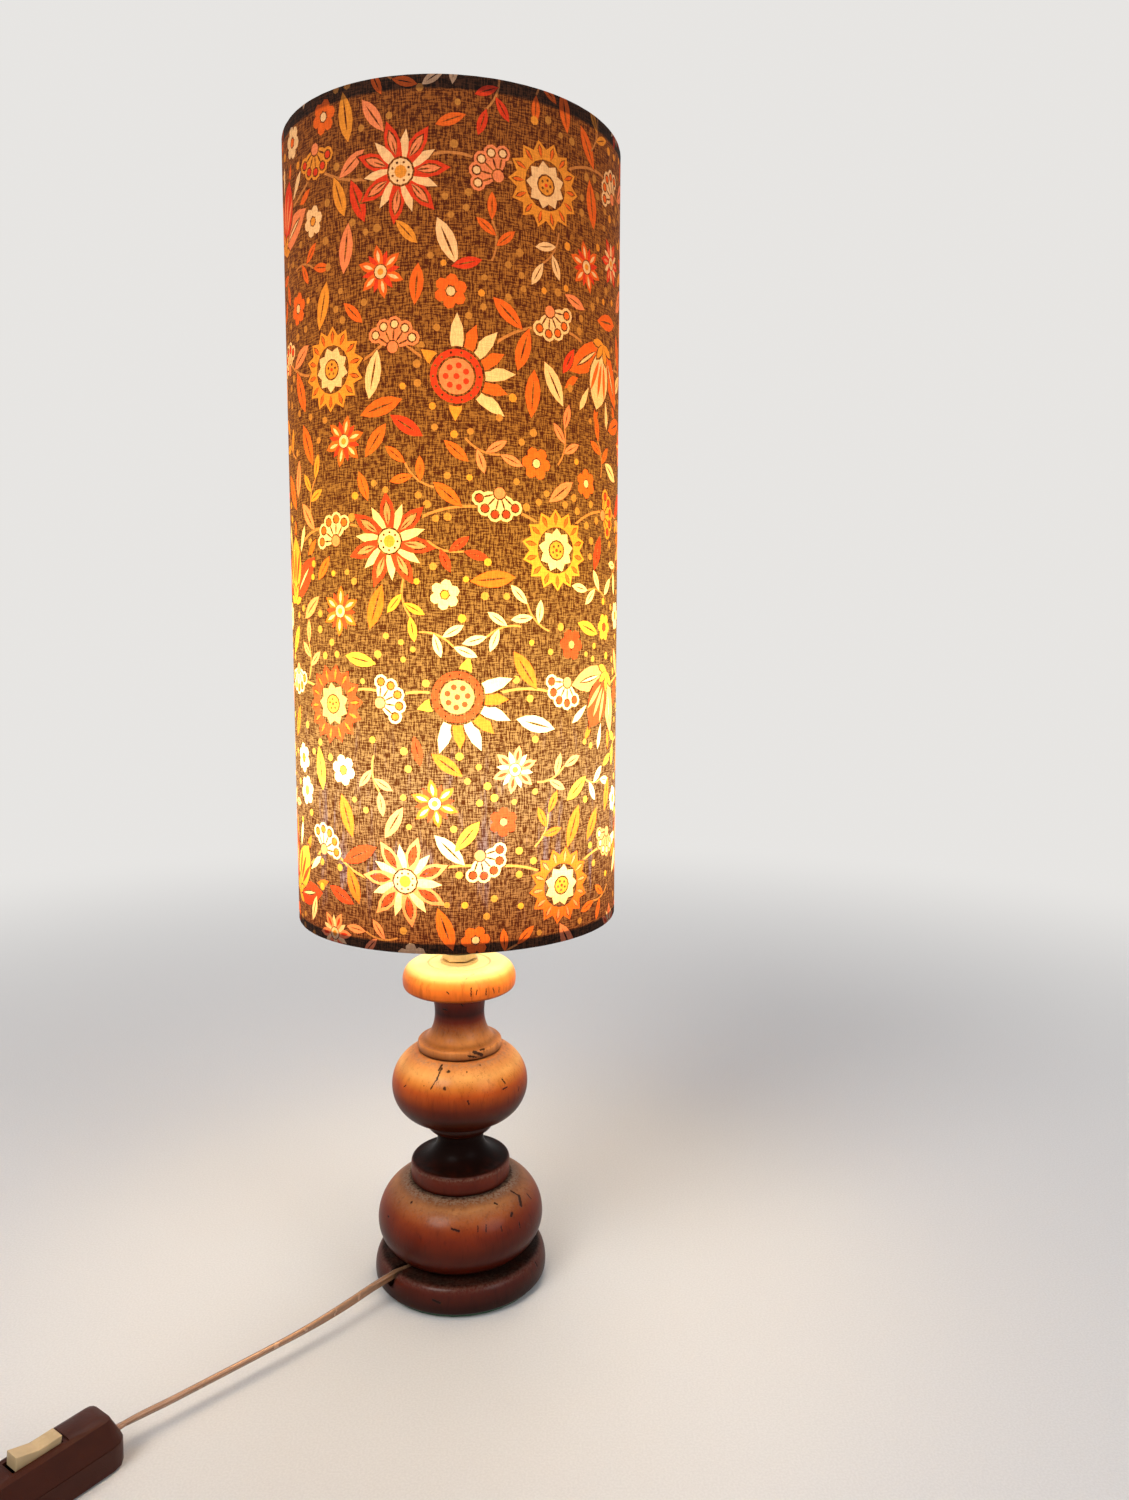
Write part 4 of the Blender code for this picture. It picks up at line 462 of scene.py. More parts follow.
def make_inner_flex(material):
    """The flex inside the lamp, on edge along the foot's slot, round a bend and up the tube."""
    start = Vector(LAMP_STRETCH[0])
    inward = (start - Vector(LAMP_STRETCH[1])).normalized()
    route = [start, start + inward * 0.0040]
    route += [SLOT_OUTWARD * reach + UP * INNER_FLEX_HEIGHT for reach in (0.0400, 0.0320, 0.0250)]
    for part in range(7):
        angle = math.radians(90) * part / 6
        along = INNER_FLEX_BEND * (1 - math.sin(angle))
        climb = INNER_FLEX_BEND * (1 - math.cos(angle))
        route.append(SLOT_OUTWARD * along + UP * (INNER_FLEX_HEIGHT + climb))
    bend_top = INNER_FLEX_HEIGHT + INNER_FLEX_BEND
    for part in range(1, 9):
        route.append(UP * (bend_top + (INNER_FLEX_TOP - bend_top) * part / 8))
    piece, _ = flat_flex("flex_in_lamp", route, lambda share: 1, material, UP.cross(SLOT_OUTWARD))
    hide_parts("inner_cord")


def lamp_tilt(share):
    """On edge at the foot, leaning over on the way, and flat at the switch."""
    leaning = 0.42 * smooth_share((share - 0.14) / 0.30)
    return 1 + leaning + 0.58 * smooth_share((share - 0.86) / 0.14)


def coil_tilt(share):
    """Flat where it leaves the switch and at the plug, and on edge between."""
    return 2 - min(smooth_share(share / 0.035), smooth_share((1 - share) / 0.035))


def make_cords(material):
    make_inner_flex(material)
    piece, line = flat_flex("flex_to_switch", LAMP_STRETCH, lamp_tilt, material)
    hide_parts("cord_lamp_to_switch")
    points = [*SWITCH_TO_COIL, *coil_points(), *COIL_TO_PLUG]
    piece, line = flat_flex("flex_to_plug", points, coil_tilt, material)
    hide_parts("cord_switch_to_coil", "cord_coil", "cord_coil_to_plug")


# Materials


def pitted(graph, place, here):
    """Small ragged pits, strewn over the wood."""
    cells = graph.node("TexVoronoi", {"Vector": graph.stretched(place, 1.0, 1.0, 0.6), "Scale": 95.0})
    chosen = graph.range(graph.node("SeparateColor", {0: cells.outputs["Color"]}).outputs[0], 0.80, 0.82)
    ragged = graph.times(graph.noise(here, 1500, 2.0), 0.055)
    pit = graph.range(graph.plus(cells.outputs["Distance"], ragged), 0.085, 0.125, 1.0, 0.0)
    return graph.times(pit, chosen)


def marked(graph, here, dark, marks):
    """Adds dents and cracks, each a short run with ragged sides, to the dark places."""
    noise = graph.node("TexNoise", {"Vector": here, "Scale": 900.0}).outputs[1]
    jitter = graph.vector("SUBTRACT", noise, (0.5, 0.5, 0.5))
    ragged = 0.0011
    warped = graph.vector("ADD", here, graph.vector("SCALE", jitter, scale=ragged))
    for start, end, width in marks:
        run = end - start
        if run.length < 1e-5:
            away = graph.vector("DISTANCE", warped, tuple(start))
        else:
            reach = graph.vector("SUBTRACT", warped, tuple(start))
            share = graph.vector("DOT_PRODUCT", reach, tuple(run / run.length_squared))
            share = graph.plus(share, 0.0, clamp=True)
            foot = graph.node("CombineXYZ", {0: share, 1: share, 2: share}).outputs[0]
            away = graph.vector("DISTANCE", reach, graph.vector("MULTIPLY", foot, tuple(run)))
        dark = graph.larger(dark, graph.range(away, width * 0.45, width, 1.0, 0.0))
    return dark


def wood_material(name, marks, seed):
    """Turned wood with pores along the grain, worn glaze, pits and cracks; its stain colours hold painted
    light and shade, its glaze painted shade, and the cap top painted bulb light.
    """
    graph = Graph(name)
    place = graph.vector("ADD", graph.place(), (seed, seed * 0.7, seed * 1.3))
    here = graph.place()
    cloud = graph.noise(graph.stretched(place, 1.0, 1.0, 0.55), 34, 4.0, 0.55, 0.4)
    # Stain colours by height, with painted light and shade in them
    stain_and_painted_light = graph.attribute("stain_and_painted_light", "Color")
    deep = graph.vector("MULTIPLY", stain_and_painted_light, (0.66, 0.54, 0.44))
    light = graph.vector("MULTIPLY", stain_and_painted_light, (0.98, 0.94, 0.86))
    colour = graph.mix(graph.range(cloud, 0.30, 0.72), deep, light)
    figure = graph.noise(graph.stretched(place, 1.0, 1.0, 0.10), 420, 3.0, 0.6, 0.2)
    shade = graph.vector("SCALE", deep, scale=0.5)
    colour = graph.mix(graph.range(figure, 0.50, 0.78, 0.0, 0.55), colour, shade)
    pores = graph.noise(graph.stretched(place, 1.0, 1.0, 0.16), 1900, 1.0, 0.5)
    pore_share = graph.range(pores, 0.63, 0.74)
    pore_share = graph.times(pore_share, graph.range(graph.noise(place, 60, 2.0), 0.38, 0.62))
    colour = graph.mix(graph.times(pore_share, 0.62), colour, (0.035, 0.010, 0.005))
    pits = pitted(graph, place, here)

    glaze_and_painted_shade = graph.attribute("glaze_and_painted_shade")
    # Near-black glaze and painted shade in coves, under collars, on undersides and in the flex's slot
    glaze_and_shade_share = graph.times(glaze_and_painted_shade, graph.range(graph.noise(place, 160, 3.0), 0.25, 0.65, 0.72, 1.0))
    colour = graph.mix(glaze_and_shade_share, colour, (0.010, 0.0038, 0.0026))
    dust = graph.attribute("dust")
    dust_noise = graph.range(graph.noise(place, 700, 4.0, 0.65), 0.34, 0.66)
    dust_share = graph.times(dust, dust_noise, clamp=True)
    colour = graph.mix(graph.times(dust_share, 0.72, clamp=True), colour, (0.255, 0.180, 0.125))
    dark = marked(graph, here, pits, marks)
    colour = graph.mix(graph.times(dark, 0.92), colour, (0.012, 0.004, 0.002))

    height = graph.minus(graph.minus(1.0, graph.times(pore_share, 0.10)), dark)
    normal = graph.bump(height, 0.00045, 0.9)
    rough = graph.range(cloud, 0.3, 0.7, 0.30, 0.40)
    rough = graph.plus(rough, graph.times(dust_share, 0.30))
    rough = graph.plus(rough, graph.times(dark, 0.35), clamp=True)
    shine = graph.range(glaze_and_painted_shade, 0.2, 1.0, 0.08, 0.02)
    coat = graph.range(glaze_and_painted_shade, 0.0, 0.6, 0.18, 0.01)
    facing = graph.node("LayerWeight", {"Blend": 0.5}).outputs["Facing"]
    towards_viewer = graph.range(facing, 0.30, 0.80, 1.0, 0.10)
    return graph.finish(
        Base_Color=colour,
        Roughness=rough,
        Normal=normal,
        Coat_Weight=graph.times(coat, towards_viewer),
        Coat_Roughness=0.20,
        Coat_Tint=(1.0, 0.86, 0.66),
        Specular_IOR_Level=shine,
        # Painted bulb light: a pale yellow glow on the top of the cap
        Emission_Color=graph.mix(graph.attribute("painted_bulb_light"), (0.0, 0.0, 0.0), (0.34, 0.34, 0.17)),
        Emission_Strength=1.0,
    )


def plastic_material(name, colour, rough, grain, grain_scale=2600, coat=0.16):
    graph = Graph(name)
    place = graph.place()
    tone = graph.noise(place, 120, 3.0)
    darker = tuple(part * 0.91 for part in colour)
    lighter = tuple(min(part * 1.06, 1) for part in colour)
    base = graph.mix(graph.range(tone, 0.3, 0.7), darker, lighter)
    fine = graph.noise(place, grain_scale, 2.0, 0.6)
    smudge = graph.noise(place, 45, 4.0, 0.6)
    return graph.finish(
        Base_Color=base,
        Roughness=graph.range(smudge, 0.3, 0.7, rough - 0.05, rough + 0.10),
        Normal=graph.bump(fine, 0.00012, grain),
        Specular_IOR_Level=0.12,
        Coat_Weight=coat,
        Coat_Roughness=0.18,
    )


def metal_material(name, colour, rough, scratch_scale=(1.0, 1.0, 0.1)):
    graph = Graph(name)
    place = graph.place()
    scratches = graph.noise(graph.stretched(place, *scratch_scale), 2400, 2.0, 0.6)
    tarnish = graph.noise(place, 90, 4.0, 0.6)
    darker = tuple(part * 0.62 for part in colour)
    base = graph.mix(graph.range(tarnish, 0.35, 0.75, 0.0, 0.75), colour, darker)
    roughness = graph.range(scratches, 0.3, 0.7, rough - 0.08, rough + 0.14)
    normal = graph.bump(scratches, 0.00004, 0.35)
    return graph.finish(Base_Color=base, Roughness=roughness, Metallic=1.0, Normal=normal)


def felt_material():
    graph = Graph("felt_green")
    fibres = graph.noise(graph.place(), 1400, 5.0, 0.75)
    base = graph.mix(graph.range(fibres, 0.3, 0.7), (0.018, 0.050, 0.022), (0.060, 0.135, 0.065))
    normal = graph.bump(fibres, 0.0004, 0.8)
    return graph.finish(Base_Color=base, Roughness=0.95, Normal=normal, Sheen_Weight=0.4, Sheen_Roughness=0.5)


def flex_material():
    graph = Graph("gold_flex_sheath")
    place = graph.place()
    tone = graph.noise(place, 150, 3.0)
    base = graph.mix(graph.range(tone, 0.3, 0.7), (0.30, 0.150, 0.075), (0.35, 0.178, 0.092))
    wrinkles = graph.noise(place, 900, 3.0)
    return graph.finish(
        Base_Color=base,
        Roughness=graph.range(graph.noise(place, 70, 4.0), 0.3, 0.7, 0.24, 0.28),
        Normal=graph.bump(wrinkles, 0.00008, 0.05),
        Metallic=0.4,
        Coat_Weight=0.5,
        Coat_Roughness=0.14,
    )


def bulb_material():
    """Frosted glass, lit: brightest round the filament and a little dimmer at the neck."""
    graph = Graph("frosted_lit_glass")
    place = graph.place()
    neck = 0.250
    filament = 0.285
    up = graph.range(graph.height(place), neck, filament)
    powder = graph.noise(place, 700, 3.0)
    base = graph.mix(graph.range(powder, 0.3, 0.7), (0.90, 0.84, 0.72), (0.96, 0.92, 0.84))
    light = graph.mix(up, (1.0, 0.62, 0.26), (1.0, 0.84, 0.56))
    roughness = graph.range(powder, 0.3, 0.7, 0.35, 0.50)
    return graph.finish(Base_Color=base, Roughness=roughness, Emission_Color=light, Emission_Strength=25.0)


# The bulb's light by height: through the inks, through the ground's dark threads, and on the liner
INK_LIGHT = (
    (0.2205, (0.12, 0.050, 0.010)), (0.2400, (0.34, 0.230, 0.090)),
    (0.2650, (0.80, 0.720, 0.45)), (0.3000, (1.00, 1.000, 0.80)),
    (0.3450, (0.90, 0.860, 0.56)), (0.3900, (0.66, 0.520, 0.24)),
    (0.4300, (0.42, 0.270, 0.090)), (0.4900, (0.22, 0.115, 0.025)),
    (0.5600, (0.105, 0.042, 0.006)), (0.6333, (0.058, 0.019, 0.003)),
)
GROUND_LIGHT = (
    (0.2205, (0.210, 0.036, 0.002)), (0.2400, (0.340, 0.105, 0.016)),
    (0.2700, (0.560, 0.240, 0.050)), (0.3000, (0.660, 0.330, 0.080)),
    (0.3400, (0.600, 0.270, 0.045)), (0.4100, (0.460, 0.165, 0.014)),
    (0.4800, (0.310, 0.088, 0.005)), (0.5500, (0.240, 0.060, 0.003)),
    (0.5900, (0.190, 0.044, 0.002)), (0.6333, (0.130, 0.026, 0.001)),
)
LINER_LIGHT = (
    (0.2205, (0.55, 0.34, 0.16)), (0.3000, (1.00, 0.80, 0.50)),
    (0.3900, (0.60, 0.38, 0.18)), (0.5000, (0.30, 0.16, 0.065)),
    (0.6333, (0.14, 0.07, 0.025)),
)


def by_height(graph, height, stops):
    """A colour that changes with the height up the shade, given at heights in metres."""
    share = graph.range(height, SHADE_BOTTOM, SHADE_TOP, smooth=False)
    node = graph.node("ValToRGB", {0: share})
    elements = node.color_ramp.elements
    for level, colour in stops[2:]:
        elements.new((level - SHADE_BOTTOM) / (SHADE_TOP - SHADE_BOTTOM))
    for element, (level, colour) in zip(elements, stops):
        element.position = (level - SHADE_BOTTOM) / (SHADE_TOP - SHADE_BOTTOM)
        element.color = (*colour, 1)
    return node.outputs[0]


def cloth_noise(graph, around, height, wide, tall, seed, detail, roughness):
    """Noise laid flat on the cloth, with its own scale round the shade and up it."""
    flat = graph.node("CombineXYZ", {0: graph.times(around, wide), 1: graph.times(height, tall), 2: seed})
    return graph.noise(flat.outputs[0], 1.0, detail, roughness)


def woven(graph, around, height):
    """How high the cloth's uneven threads stand: upright ones, level ones and their grain."""
    upright, level, grain = [
        cloth_noise(graph, around, height, wide, tall, seed, 1.5, 0.6)
        for wide, tall, seed in ((1450, 190, 3.0), (210, 1450, 7.0), (2300, 2300, 11.0))
    ]
    upright = graph.times(graph.range(upright, 0.34, 0.66), 0.42)
    level = graph.times(graph.range(level, 0.34, 0.66), 0.34)
    grain = graph.times(graph.range(grain, 0.30, 0.70), 0.24)
    return graph.range(graph.plus(graph.plus(upright, level), grain), 0.28, 0.76)


def single_layer(graph, around, height):
    """Share of the bulb's light that the cloth lets through: none at the hems, less at the lap."""
    lower = SHADE_BOTTOM + 0.0046
    upper = SHADE_TOP - 0.0074
    blur = 0.0016
    sharp = 0.0002
    above_hem = graph.range(height, lower, lower + blur)
    below_hem = graph.range(height, upper, upper + blur, 1.0, 0.0)
    single = graph.times(above_hem, below_hem)
    seam = math.radians(90) * SHADE_RADIUS
    lap = graph.minus(1.0, graph.range(around, seam - sharp, seam + sharp))
    lap = graph.larger(lap, graph.range(around, seam + LAP - sharp, seam + LAP + sharp))
    return graph.times(single, graph.plus(0.58, graph.times(lap, 0.42)))


def cloth_material():
    """Printed cotton, lit from inside. The hems are double, so no light comes through them."""
    graph = Graph("printed_cotton")
    x, y, height = graph.node("SeparateXYZ", {0: graph.place()}).outputs
    around = graph.times(graph.calculate("ARCTAN2", (y, x)), SHADE_RADIUS)
    thread = woven(graph, around, height)
    ink = graph.attribute("print", "Color")
    ground = graph.attribute("ground")
    fine = graph.range(thread, 0.0, 1.0, 0.84, 1.10, smooth=False)
    coarse = graph.range(thread, 0.0, 1.0, 0.30, 2.10, smooth=False)
    weave = graph.node("Mix", {0: ground, 2: fine, 3: coarse}, data_type="FLOAT").outputs[0]
    base = graph.vector("SCALE", ink, scale=weave)

    ink_light = graph.vector("SCALE", by_height(graph, height, INK_LIGHT), scale=9.0)
    lit_ink = graph.vector("MULTIPLY", base, ink_light)
    ground_light = by_height(graph, height, GROUND_LIGHT)
    share = graph.calculate("POWER", (thread, 1.3))
    threads = graph.mix(share, (0.20, 0.08, 0.02), (1.0, 1.0, 1.0))
    threads = graph.vector("MULTIPLY", threads, (1.75, 1.9, 2.6))
    lit_ground = graph.vector("MULTIPLY", ground_light, threads)
    streak = graph.range(cloth_noise(graph, around, height, 120, 16, 5.0, 3.0, 0.7), 0.54, 0.68)
    streak = graph.times(streak, graph.range(height, 0.228, 0.262))
    streak = graph.times(streak, graph.range(height, 0.350, 0.300, 0.0, 1.0))
    streak = graph.times(streak, graph.range(thread, 0.25, 0.85, 0.10, 0.62))
    lit_ground = graph.mix(streak, lit_ground, (0.50, 0.37, 0.42))
    lit = graph.mix(ground, lit_ink, lit_ground)
    single = single_layer(graph, around, height)
    return graph.finish(
        # Base colour darker and more purple at the hems and the lap, where no light comes through: painted
        # shade
        Base_Color=graph.mix(single, graph.vector("MULTIPLY", base, (0.62, 0.50, 0.62)), base),
        Roughness=0.9,
        Normal=graph.bump(thread, 0.00016, 0.6),
        Emission_Color=graph.vector("SCALE", lit, scale=single),
        Emission_Strength=1.0,
        Specular_IOR_Level=0.12,
    )


def liner_material():
    graph = Graph("lit_liner")
    place = graph.place()
    mottle = graph.noise(place, 260, 4.0, 0.6)
    base = graph.mix(graph.range(mottle, 0.3, 0.7), (0.56, 0.47, 0.36), (0.68, 0.60, 0.48))
    light = by_height(graph, graph.height(place), LINER_LIGHT)
    return graph.finish(Base_Color=base, Roughness=0.6, Emission_Color=light, Emission_Strength=2.4)


def make_finishes():
    return {
        "felt": felt_material(),
        "steel": metal_material("yellow_zinc_steel", (0.80, 0.66, 0.38), 0.46),
        "brass": metal_material("plain_brass", (0.68, 0.46, 0.16), 0.30),
        "bakelite": plastic_material("black_moulding", (0.020, 0.017, 0.015), 0.32, 0.25),
        "ceramic": plastic_material("white_ceramic", (0.74, 0.71, 0.64), 0.45, 0.35, 1200),
        "opal": bulb_material(),
        "bulb_metal": metal_material("rolled_aluminium", (0.68, 0.68, 0.66), 0.30, (0.1, 0.1, 1.0)),
        "black_glass": plastic_material("black_glass_insulator", (0.012, 0.012, 0.014), 0.16, 0.05),
        "shade_cloth": cloth_material(),
        "liner": liner_material(),
        "white_wire": plastic_material("white_coated_wire", (0.74, 0.72, 0.67), 0.38, 0.2),
        "brown_plastic": plastic_material("brown_moulding", (0.046, 0.0085, 0.003), 0.40, 0.95, 1700, 0.07),
        "cream_plastic": plastic_material("cream_moulding", (0.56, 0.405, 0.220), 0.30, 0.12),
        "gold_flex": flex_material(),
        "black_plastic": plastic_material("black_band", (0.018, 0.018, 0.018), 0.45, 0.4),
    }


# Turned wood


def plinth_outline():
    top = 0.0178
    side = (
        (0.0481, FELT_TOP),
        (0.0499, 0.0034),
        (0.0504, 0.0066),
        (0.0501, 0.0108),
        (0.0490, 0.0146),
        (0.0473, 0.0168),
        (0.0448, top),
    )
    return curved(side, 5) + [(FOOT_BORE, top), (FOOT_BORE, FELT_TOP)]


def ball_outline(radius, base, top, core_share, middle, below, above):
    """The side of a ball: below and above its middle, each a height, an angle and a step count."""
    core = radius * core_share
    side = arc((core, middle), (radius - core, below[0]), -below[1], 0, below[2])
    side += arc((core, middle), (radius - core, above[0]), 0, above[1], above[2])[1:]
    side[0] = (side[0][0], base)
    side[-1] = (side[-1][0], top)
    return side


def lower_ball_outline():
    height = 0.0419
    base = 0.0181
    top = 0.0600
    recess = 0.0381
    below = (height * 0.497, 64, 16)
    above = (height * 0.562, 80, 22)
    side = ball_outline(0.0485, base, top, 0.536, base + height * 0.447, below, above)
    return side + [(TUBE_BORE, top), (TUBE_BORE, recess), (FOOT_BORE, recess), (FOOT_BORE, base)]


def collar_outline(radius, base, shares):
    return curved([(radius * share, base + rise) for share, rise in shares], 2)


def lower_neck_outline():
    radius = 0.0290
    base = 0.0603
    top = 0.0880
    waist = 0.0136
    edge = (0.920, 0.01154)
    collar = ((0.972, 0), (0.990, 0.0004), (0.998, 0.0012), (1, 0.0040), (0.999, 0.0086), (0.992, 0.0101))
    collar += ((0.975, 0.0110), (0.948, 0.0114), edge)
    start = radius * edge[0]
    rise = 0.0277 * 0.44
    sweep = arc((start, base + edge[1] + rise), (start - waist, rise), 270, 180, 18)[1:]
    collar = collar_outline(radius, base, collar)
    return collar + sweep + [(waist, top), (TUBE_BORE, top), (TUBE_BORE, base)]


def upper_ball_outline():
    height = 0.0497
    base = 0.0883
    top = 0.1380
    bead = ((0.0160, base), (0.0186, 0.0906), (0.0199, 0.0930), (0.0200, 0.0945))
    bead += ((0.0196, 0.0957), (0.0188, 0.0963))
    below = (height * 0.425, 76, 20)
    above = (height * 0.434, 72, 18)
    side = ball_outline(0.0396, base, top, 0.480, base + height * 0.588, below, above)
    return curved(bead, 4) + side[1:] + [(TUBE_BORE, top), (TUBE_BORE, base)]


def upper_neck_outline():
    radius = 0.0244
    base = 0.1383
    top = 0.1743
    waist = 0.0144
    edge = (0.967, 0.0056)
    collar = ((0.975, 0), (0.992, 0.0004), (1, 0.0014), (1, 0.0040), (0.990, 0.0050), edge)
    climb = 0.0360 - edge[1]
    middle = base + edge[1] + climb * 0.52
    start = radius * edge[0]
    lower = arc((start, middle), (start - waist, climb * 0.52), 270, 180, 20)[1:]
    flare = radius * 0.84 - waist
    upper = arc((waist + flare, middle), (flare, climb * 0.48), 180, 100, 14)[1:]
    upper[-1] = (upper[-1][0], top)
    return collar_outline(radius, base, collar) + lower + upper + [(TUBE_BORE, top), (TUBE_BORE, base)]


def top_cap_outline():
    base = 0.1746
    top = 0.1894
    side = ((0.0303, base), (0.0318, 0.1756), (0.0325, 0.1770), (0.0328, 0.1795))
    side += ((0.0325, 0.1830), (0.0309, 0.1864), (0.0284, 0.1886), (0.0252, top))
    groove = [(0.0186, top), (0.0181, 0.1889), (0.0177, 0.1888), (0.0173, 0.1889), (0.0168, top)]
    return curved(side, 5) + groove + [(TUBE_BORE, top), (TUBE_BORE, base)]


WOOD_OUTLINES = {
    "base_plinth": plinth_outline,
    "lower_ball": lower_ball_outline,
    "lower_neck": lower_neck_outline,
    "upper_ball": upper_ball_outline,
    "upper_neck": upper_neck_outline,
    "top_cap": top_cap_outline,
}

# The stain's colour up each turned piece, with painted light and shade in it: dark undersides, coves and
# lower pieces where shade falls, and pale bands and a pale cap top where light falls
WOOD_STAINS_AND_PAINTED_LIGHT = {
    # Foot: painted shade, darker towards the table
    "base_plinth": (
        (0.002, (0.018, 0.0022, 0.001)), (0.007, (0.030, 0.004, 0.002)), (0.015, (0.085, 0.011, 0.004)),
    ),
    # Lower ball: painted shade on its underside, a painted highlight band below the collar, and painted shade
    # just under the collar
    "lower_ball": (
        (0.020, (0.062, 0.007, 0.002)), (0.028, (0.060, 0.006, 0.002)), (0.036, (0.080, 0.009, 0.002)),
        (0.044, (0.155, 0.017, 0.002)), (0.049, (0.235, 0.036, 0.004)), (0.053, (0.330, 0.090, 0.020)),
        (0.057, (0.380, 0.160, 0.058)), (0.060, (0.130, 0.038, 0.016)),
    ),
    # Lower neck: painted shade, near black, in the cove above the collar
    "lower_neck": (
        (0.0605, (0.085, 0.010, 0.004)), (0.068, (0.150, 0.020, 0.005)), (0.076, (0.012, 0.003, 0.002)),
    ),
    # Upper ball: painted shade below its middle, and a painted highlight band near its top
    "upper_ball": (
        (0.088, (0.036, 0.006, 0.002)), (0.095, (0.040, 0.006, 0.002)), (0.102, (0.048, 0.006, 0.001)),
        (0.108, (0.048, 0.006, 0.001)), (0.115, (0.140, 0.017, 0.002)), (0.121, (0.370, 0.066, 0.006)),
        (0.124, (0.490, 0.092, 0.008)), (0.128, (0.680, 0.245, 0.040)), (0.132, (0.800, 0.450, 0.150)),
        (0.138, (0.580, 0.230, 0.075)),
    ),
    # Upper neck: a painted highlight on the flare above the collar, and painted shade in the waist
    "upper_neck": (
        (0.138, (0.140, 0.032, 0.009)), (0.143, (0.780, 0.350, 0.110)), (0.148, (0.740, 0.330, 0.095)),
        (0.153, (0.470, 0.135, 0.027)), (0.157, (0.230, 0.026, 0.003)), (0.161, (0.060, 0.006, 0.001)),
        (0.168, (0.160, 0.013, 0.002)), (0.174, (0.150, 0.016, 0.002)),
    ),
    # Top cap: its top painted pale yellow where the bulb's light falls
    "top_cap": (
        (0.175, (0.780, 0.165, 0.012)), (0.181, (0.940, 0.270, 0.032)), (0.185, (0.840, 0.350, 0.070)),
        (0.1885, (0.920, 0.680, 0.230)), (0.190, (0.960, 0.920, 0.560)),
    ),
}


def stain_and_light_at(node, height):
    stops = WOOD_STAINS_AND_PAINTED_LIGHT[node]
    if height <= stops[0][0]:
        return stops[0][1]
    for (low, one), (high, two) in zip(stops, stops[1:]):
        if height <= high:
            share = (height - low) / (high - low)
            return tuple(a + (b - a) * share for a, b in zip(one, two))
    return stops[-1][1]


def wear_at(node, radius, height):
    """How much dark glaze and painted shade each place has, in coves, under collars and on undersides, and
    how far the finish has worn to grey.
    """
    # The dark below is glaze with painted shade: on undersides, in coves and grooves, and in the gaps under
    # collars
    glaze_and_painted_shade = 0.0
    dust = 0.0
    if node == "base_plinth":
        glaze_and_painted_shade = 0.94 * smooth_share((0.0482 - radius) / 0.0030) * (height > 0.01)
        glaze_and_painted_shade += 0.35 * smooth_share((0.0042 - height) / 0.003)
        dust = 0.20 * bell_curve(height, 0.0165, 0.0015)
    elif node == "lower_ball":
        glaze_and_painted_shade = 0.97 * smooth_share((0.0250 - height) / 0.0060)
        glaze_and_painted_shade += 0.95 * smooth_share((0.0313 - radius) / 0.0016) * (height > 0.055)
        dust = 1.6 * bell_curve(radius, 0.0322, 0.0024) * (height > 0.05)
        dust += 0.25 * bell_curve(height, 0.0550, 0.0030)
    elif node == "lower_neck":
        glaze_and_painted_shade = 0.985 * smooth_share((height - 0.0706) / 0.0014)
        glaze_and_painted_shade -= 0.18 * smooth_share((height - 0.0835) / 0.0040)
        glaze_and_painted_shade += 0.75 * smooth_share((0.0622 - height) / 0.0012)
        dust = 0.45 * bell_curve(height, 0.0700, 0.0009)
    elif node == "upper_ball":
        glaze_and_painted_shade = 0.85 * smooth_share((0.0915 - height) / 0.0025)
        glaze_and_painted_shade += 0.85 * bell_curve(height, 0.0968, 0.0013)
        glaze_and_painted_shade += 0.85 * smooth_share((0.0254 - radius) / 0.0011) * (height > 0.13)
        dust = 1.0 * bell_curve(radius, 0.0275, 0.0020) * (height > 0.13)
    elif node == "upper_neck":
        glaze_and_painted_shade = 0.75 * smooth_share((0.1398 - height) / 0.0012)
        glaze_and_painted_shade += 0.45 * bell_curve(height, 0.1447, 0.0010)
        glaze_and_painted_shade += 0.50 * smooth_share((height - 0.1690) / 0.0040)
        dust = 0.30 * bell_curve(height, 0.1510, 0.0045)
    elif node == "top_cap":
        glaze_and_painted_shade = 0.60 * bell_curve(radius, 0.0177, 0.0007) * (height > 0.188)
        glaze_and_painted_shade += 0.55 * smooth_share((0.1770 - height) / 0.0018)
        dust = 0.25 * bell_curve(height, 0.1885, 0.0010)
    return min(max(glaze_and_painted_shade, 0), 1), min(dust, 1.4)


def paint_wood(mesh, node):
    """Gives each point its stain with painted light and shade, its glaze with painted shade, its wear, and
    painted lamplight on the cap top, with painted shade inside the flex's slot.
    """
    colours = []
    fields = {"glaze_and_painted_shade": [], "dust": [], "painted_bulb_light": []}
    across = SLOT_OUTWARD.cross(UP)
    slot_end = 0.0160
    margin = 0.0002
    for vert in mesh.vertices:
        place = vert.co
        dark, worn = wear_at(node, place.xy.length, place.z)
        in_slot = abs(place.dot(across)) < SLOT_HALF + margin and place.dot(SLOT_OUTWARD) > slot_end
        # Painted shade inside the flex's slot
        if node == "base_plinth" and in_slot and place.z > SLOT_FLOOR - margin:
            dark = 0.92
        colours += [*stain_and_light_at(node, place.z), 1]
        fields["glaze_and_painted_shade"].append(dark)
        fields["dust"].append(worn)
        # Painted bulb light on the top of the cap
        fields["painted_bulb_light"].append(smooth_share((place.z - 0.1855) / 0.0040) if node == "top_cap" else 0)
    mesh.attributes.new("stain_and_painted_light", "FLOAT_COLOR", "POINT").data.foreach_set("color", colours)
    for name, values in fields.items():
        mesh.attributes.new(name, "FLOAT", "POINT").data.foreach_set("value", values)


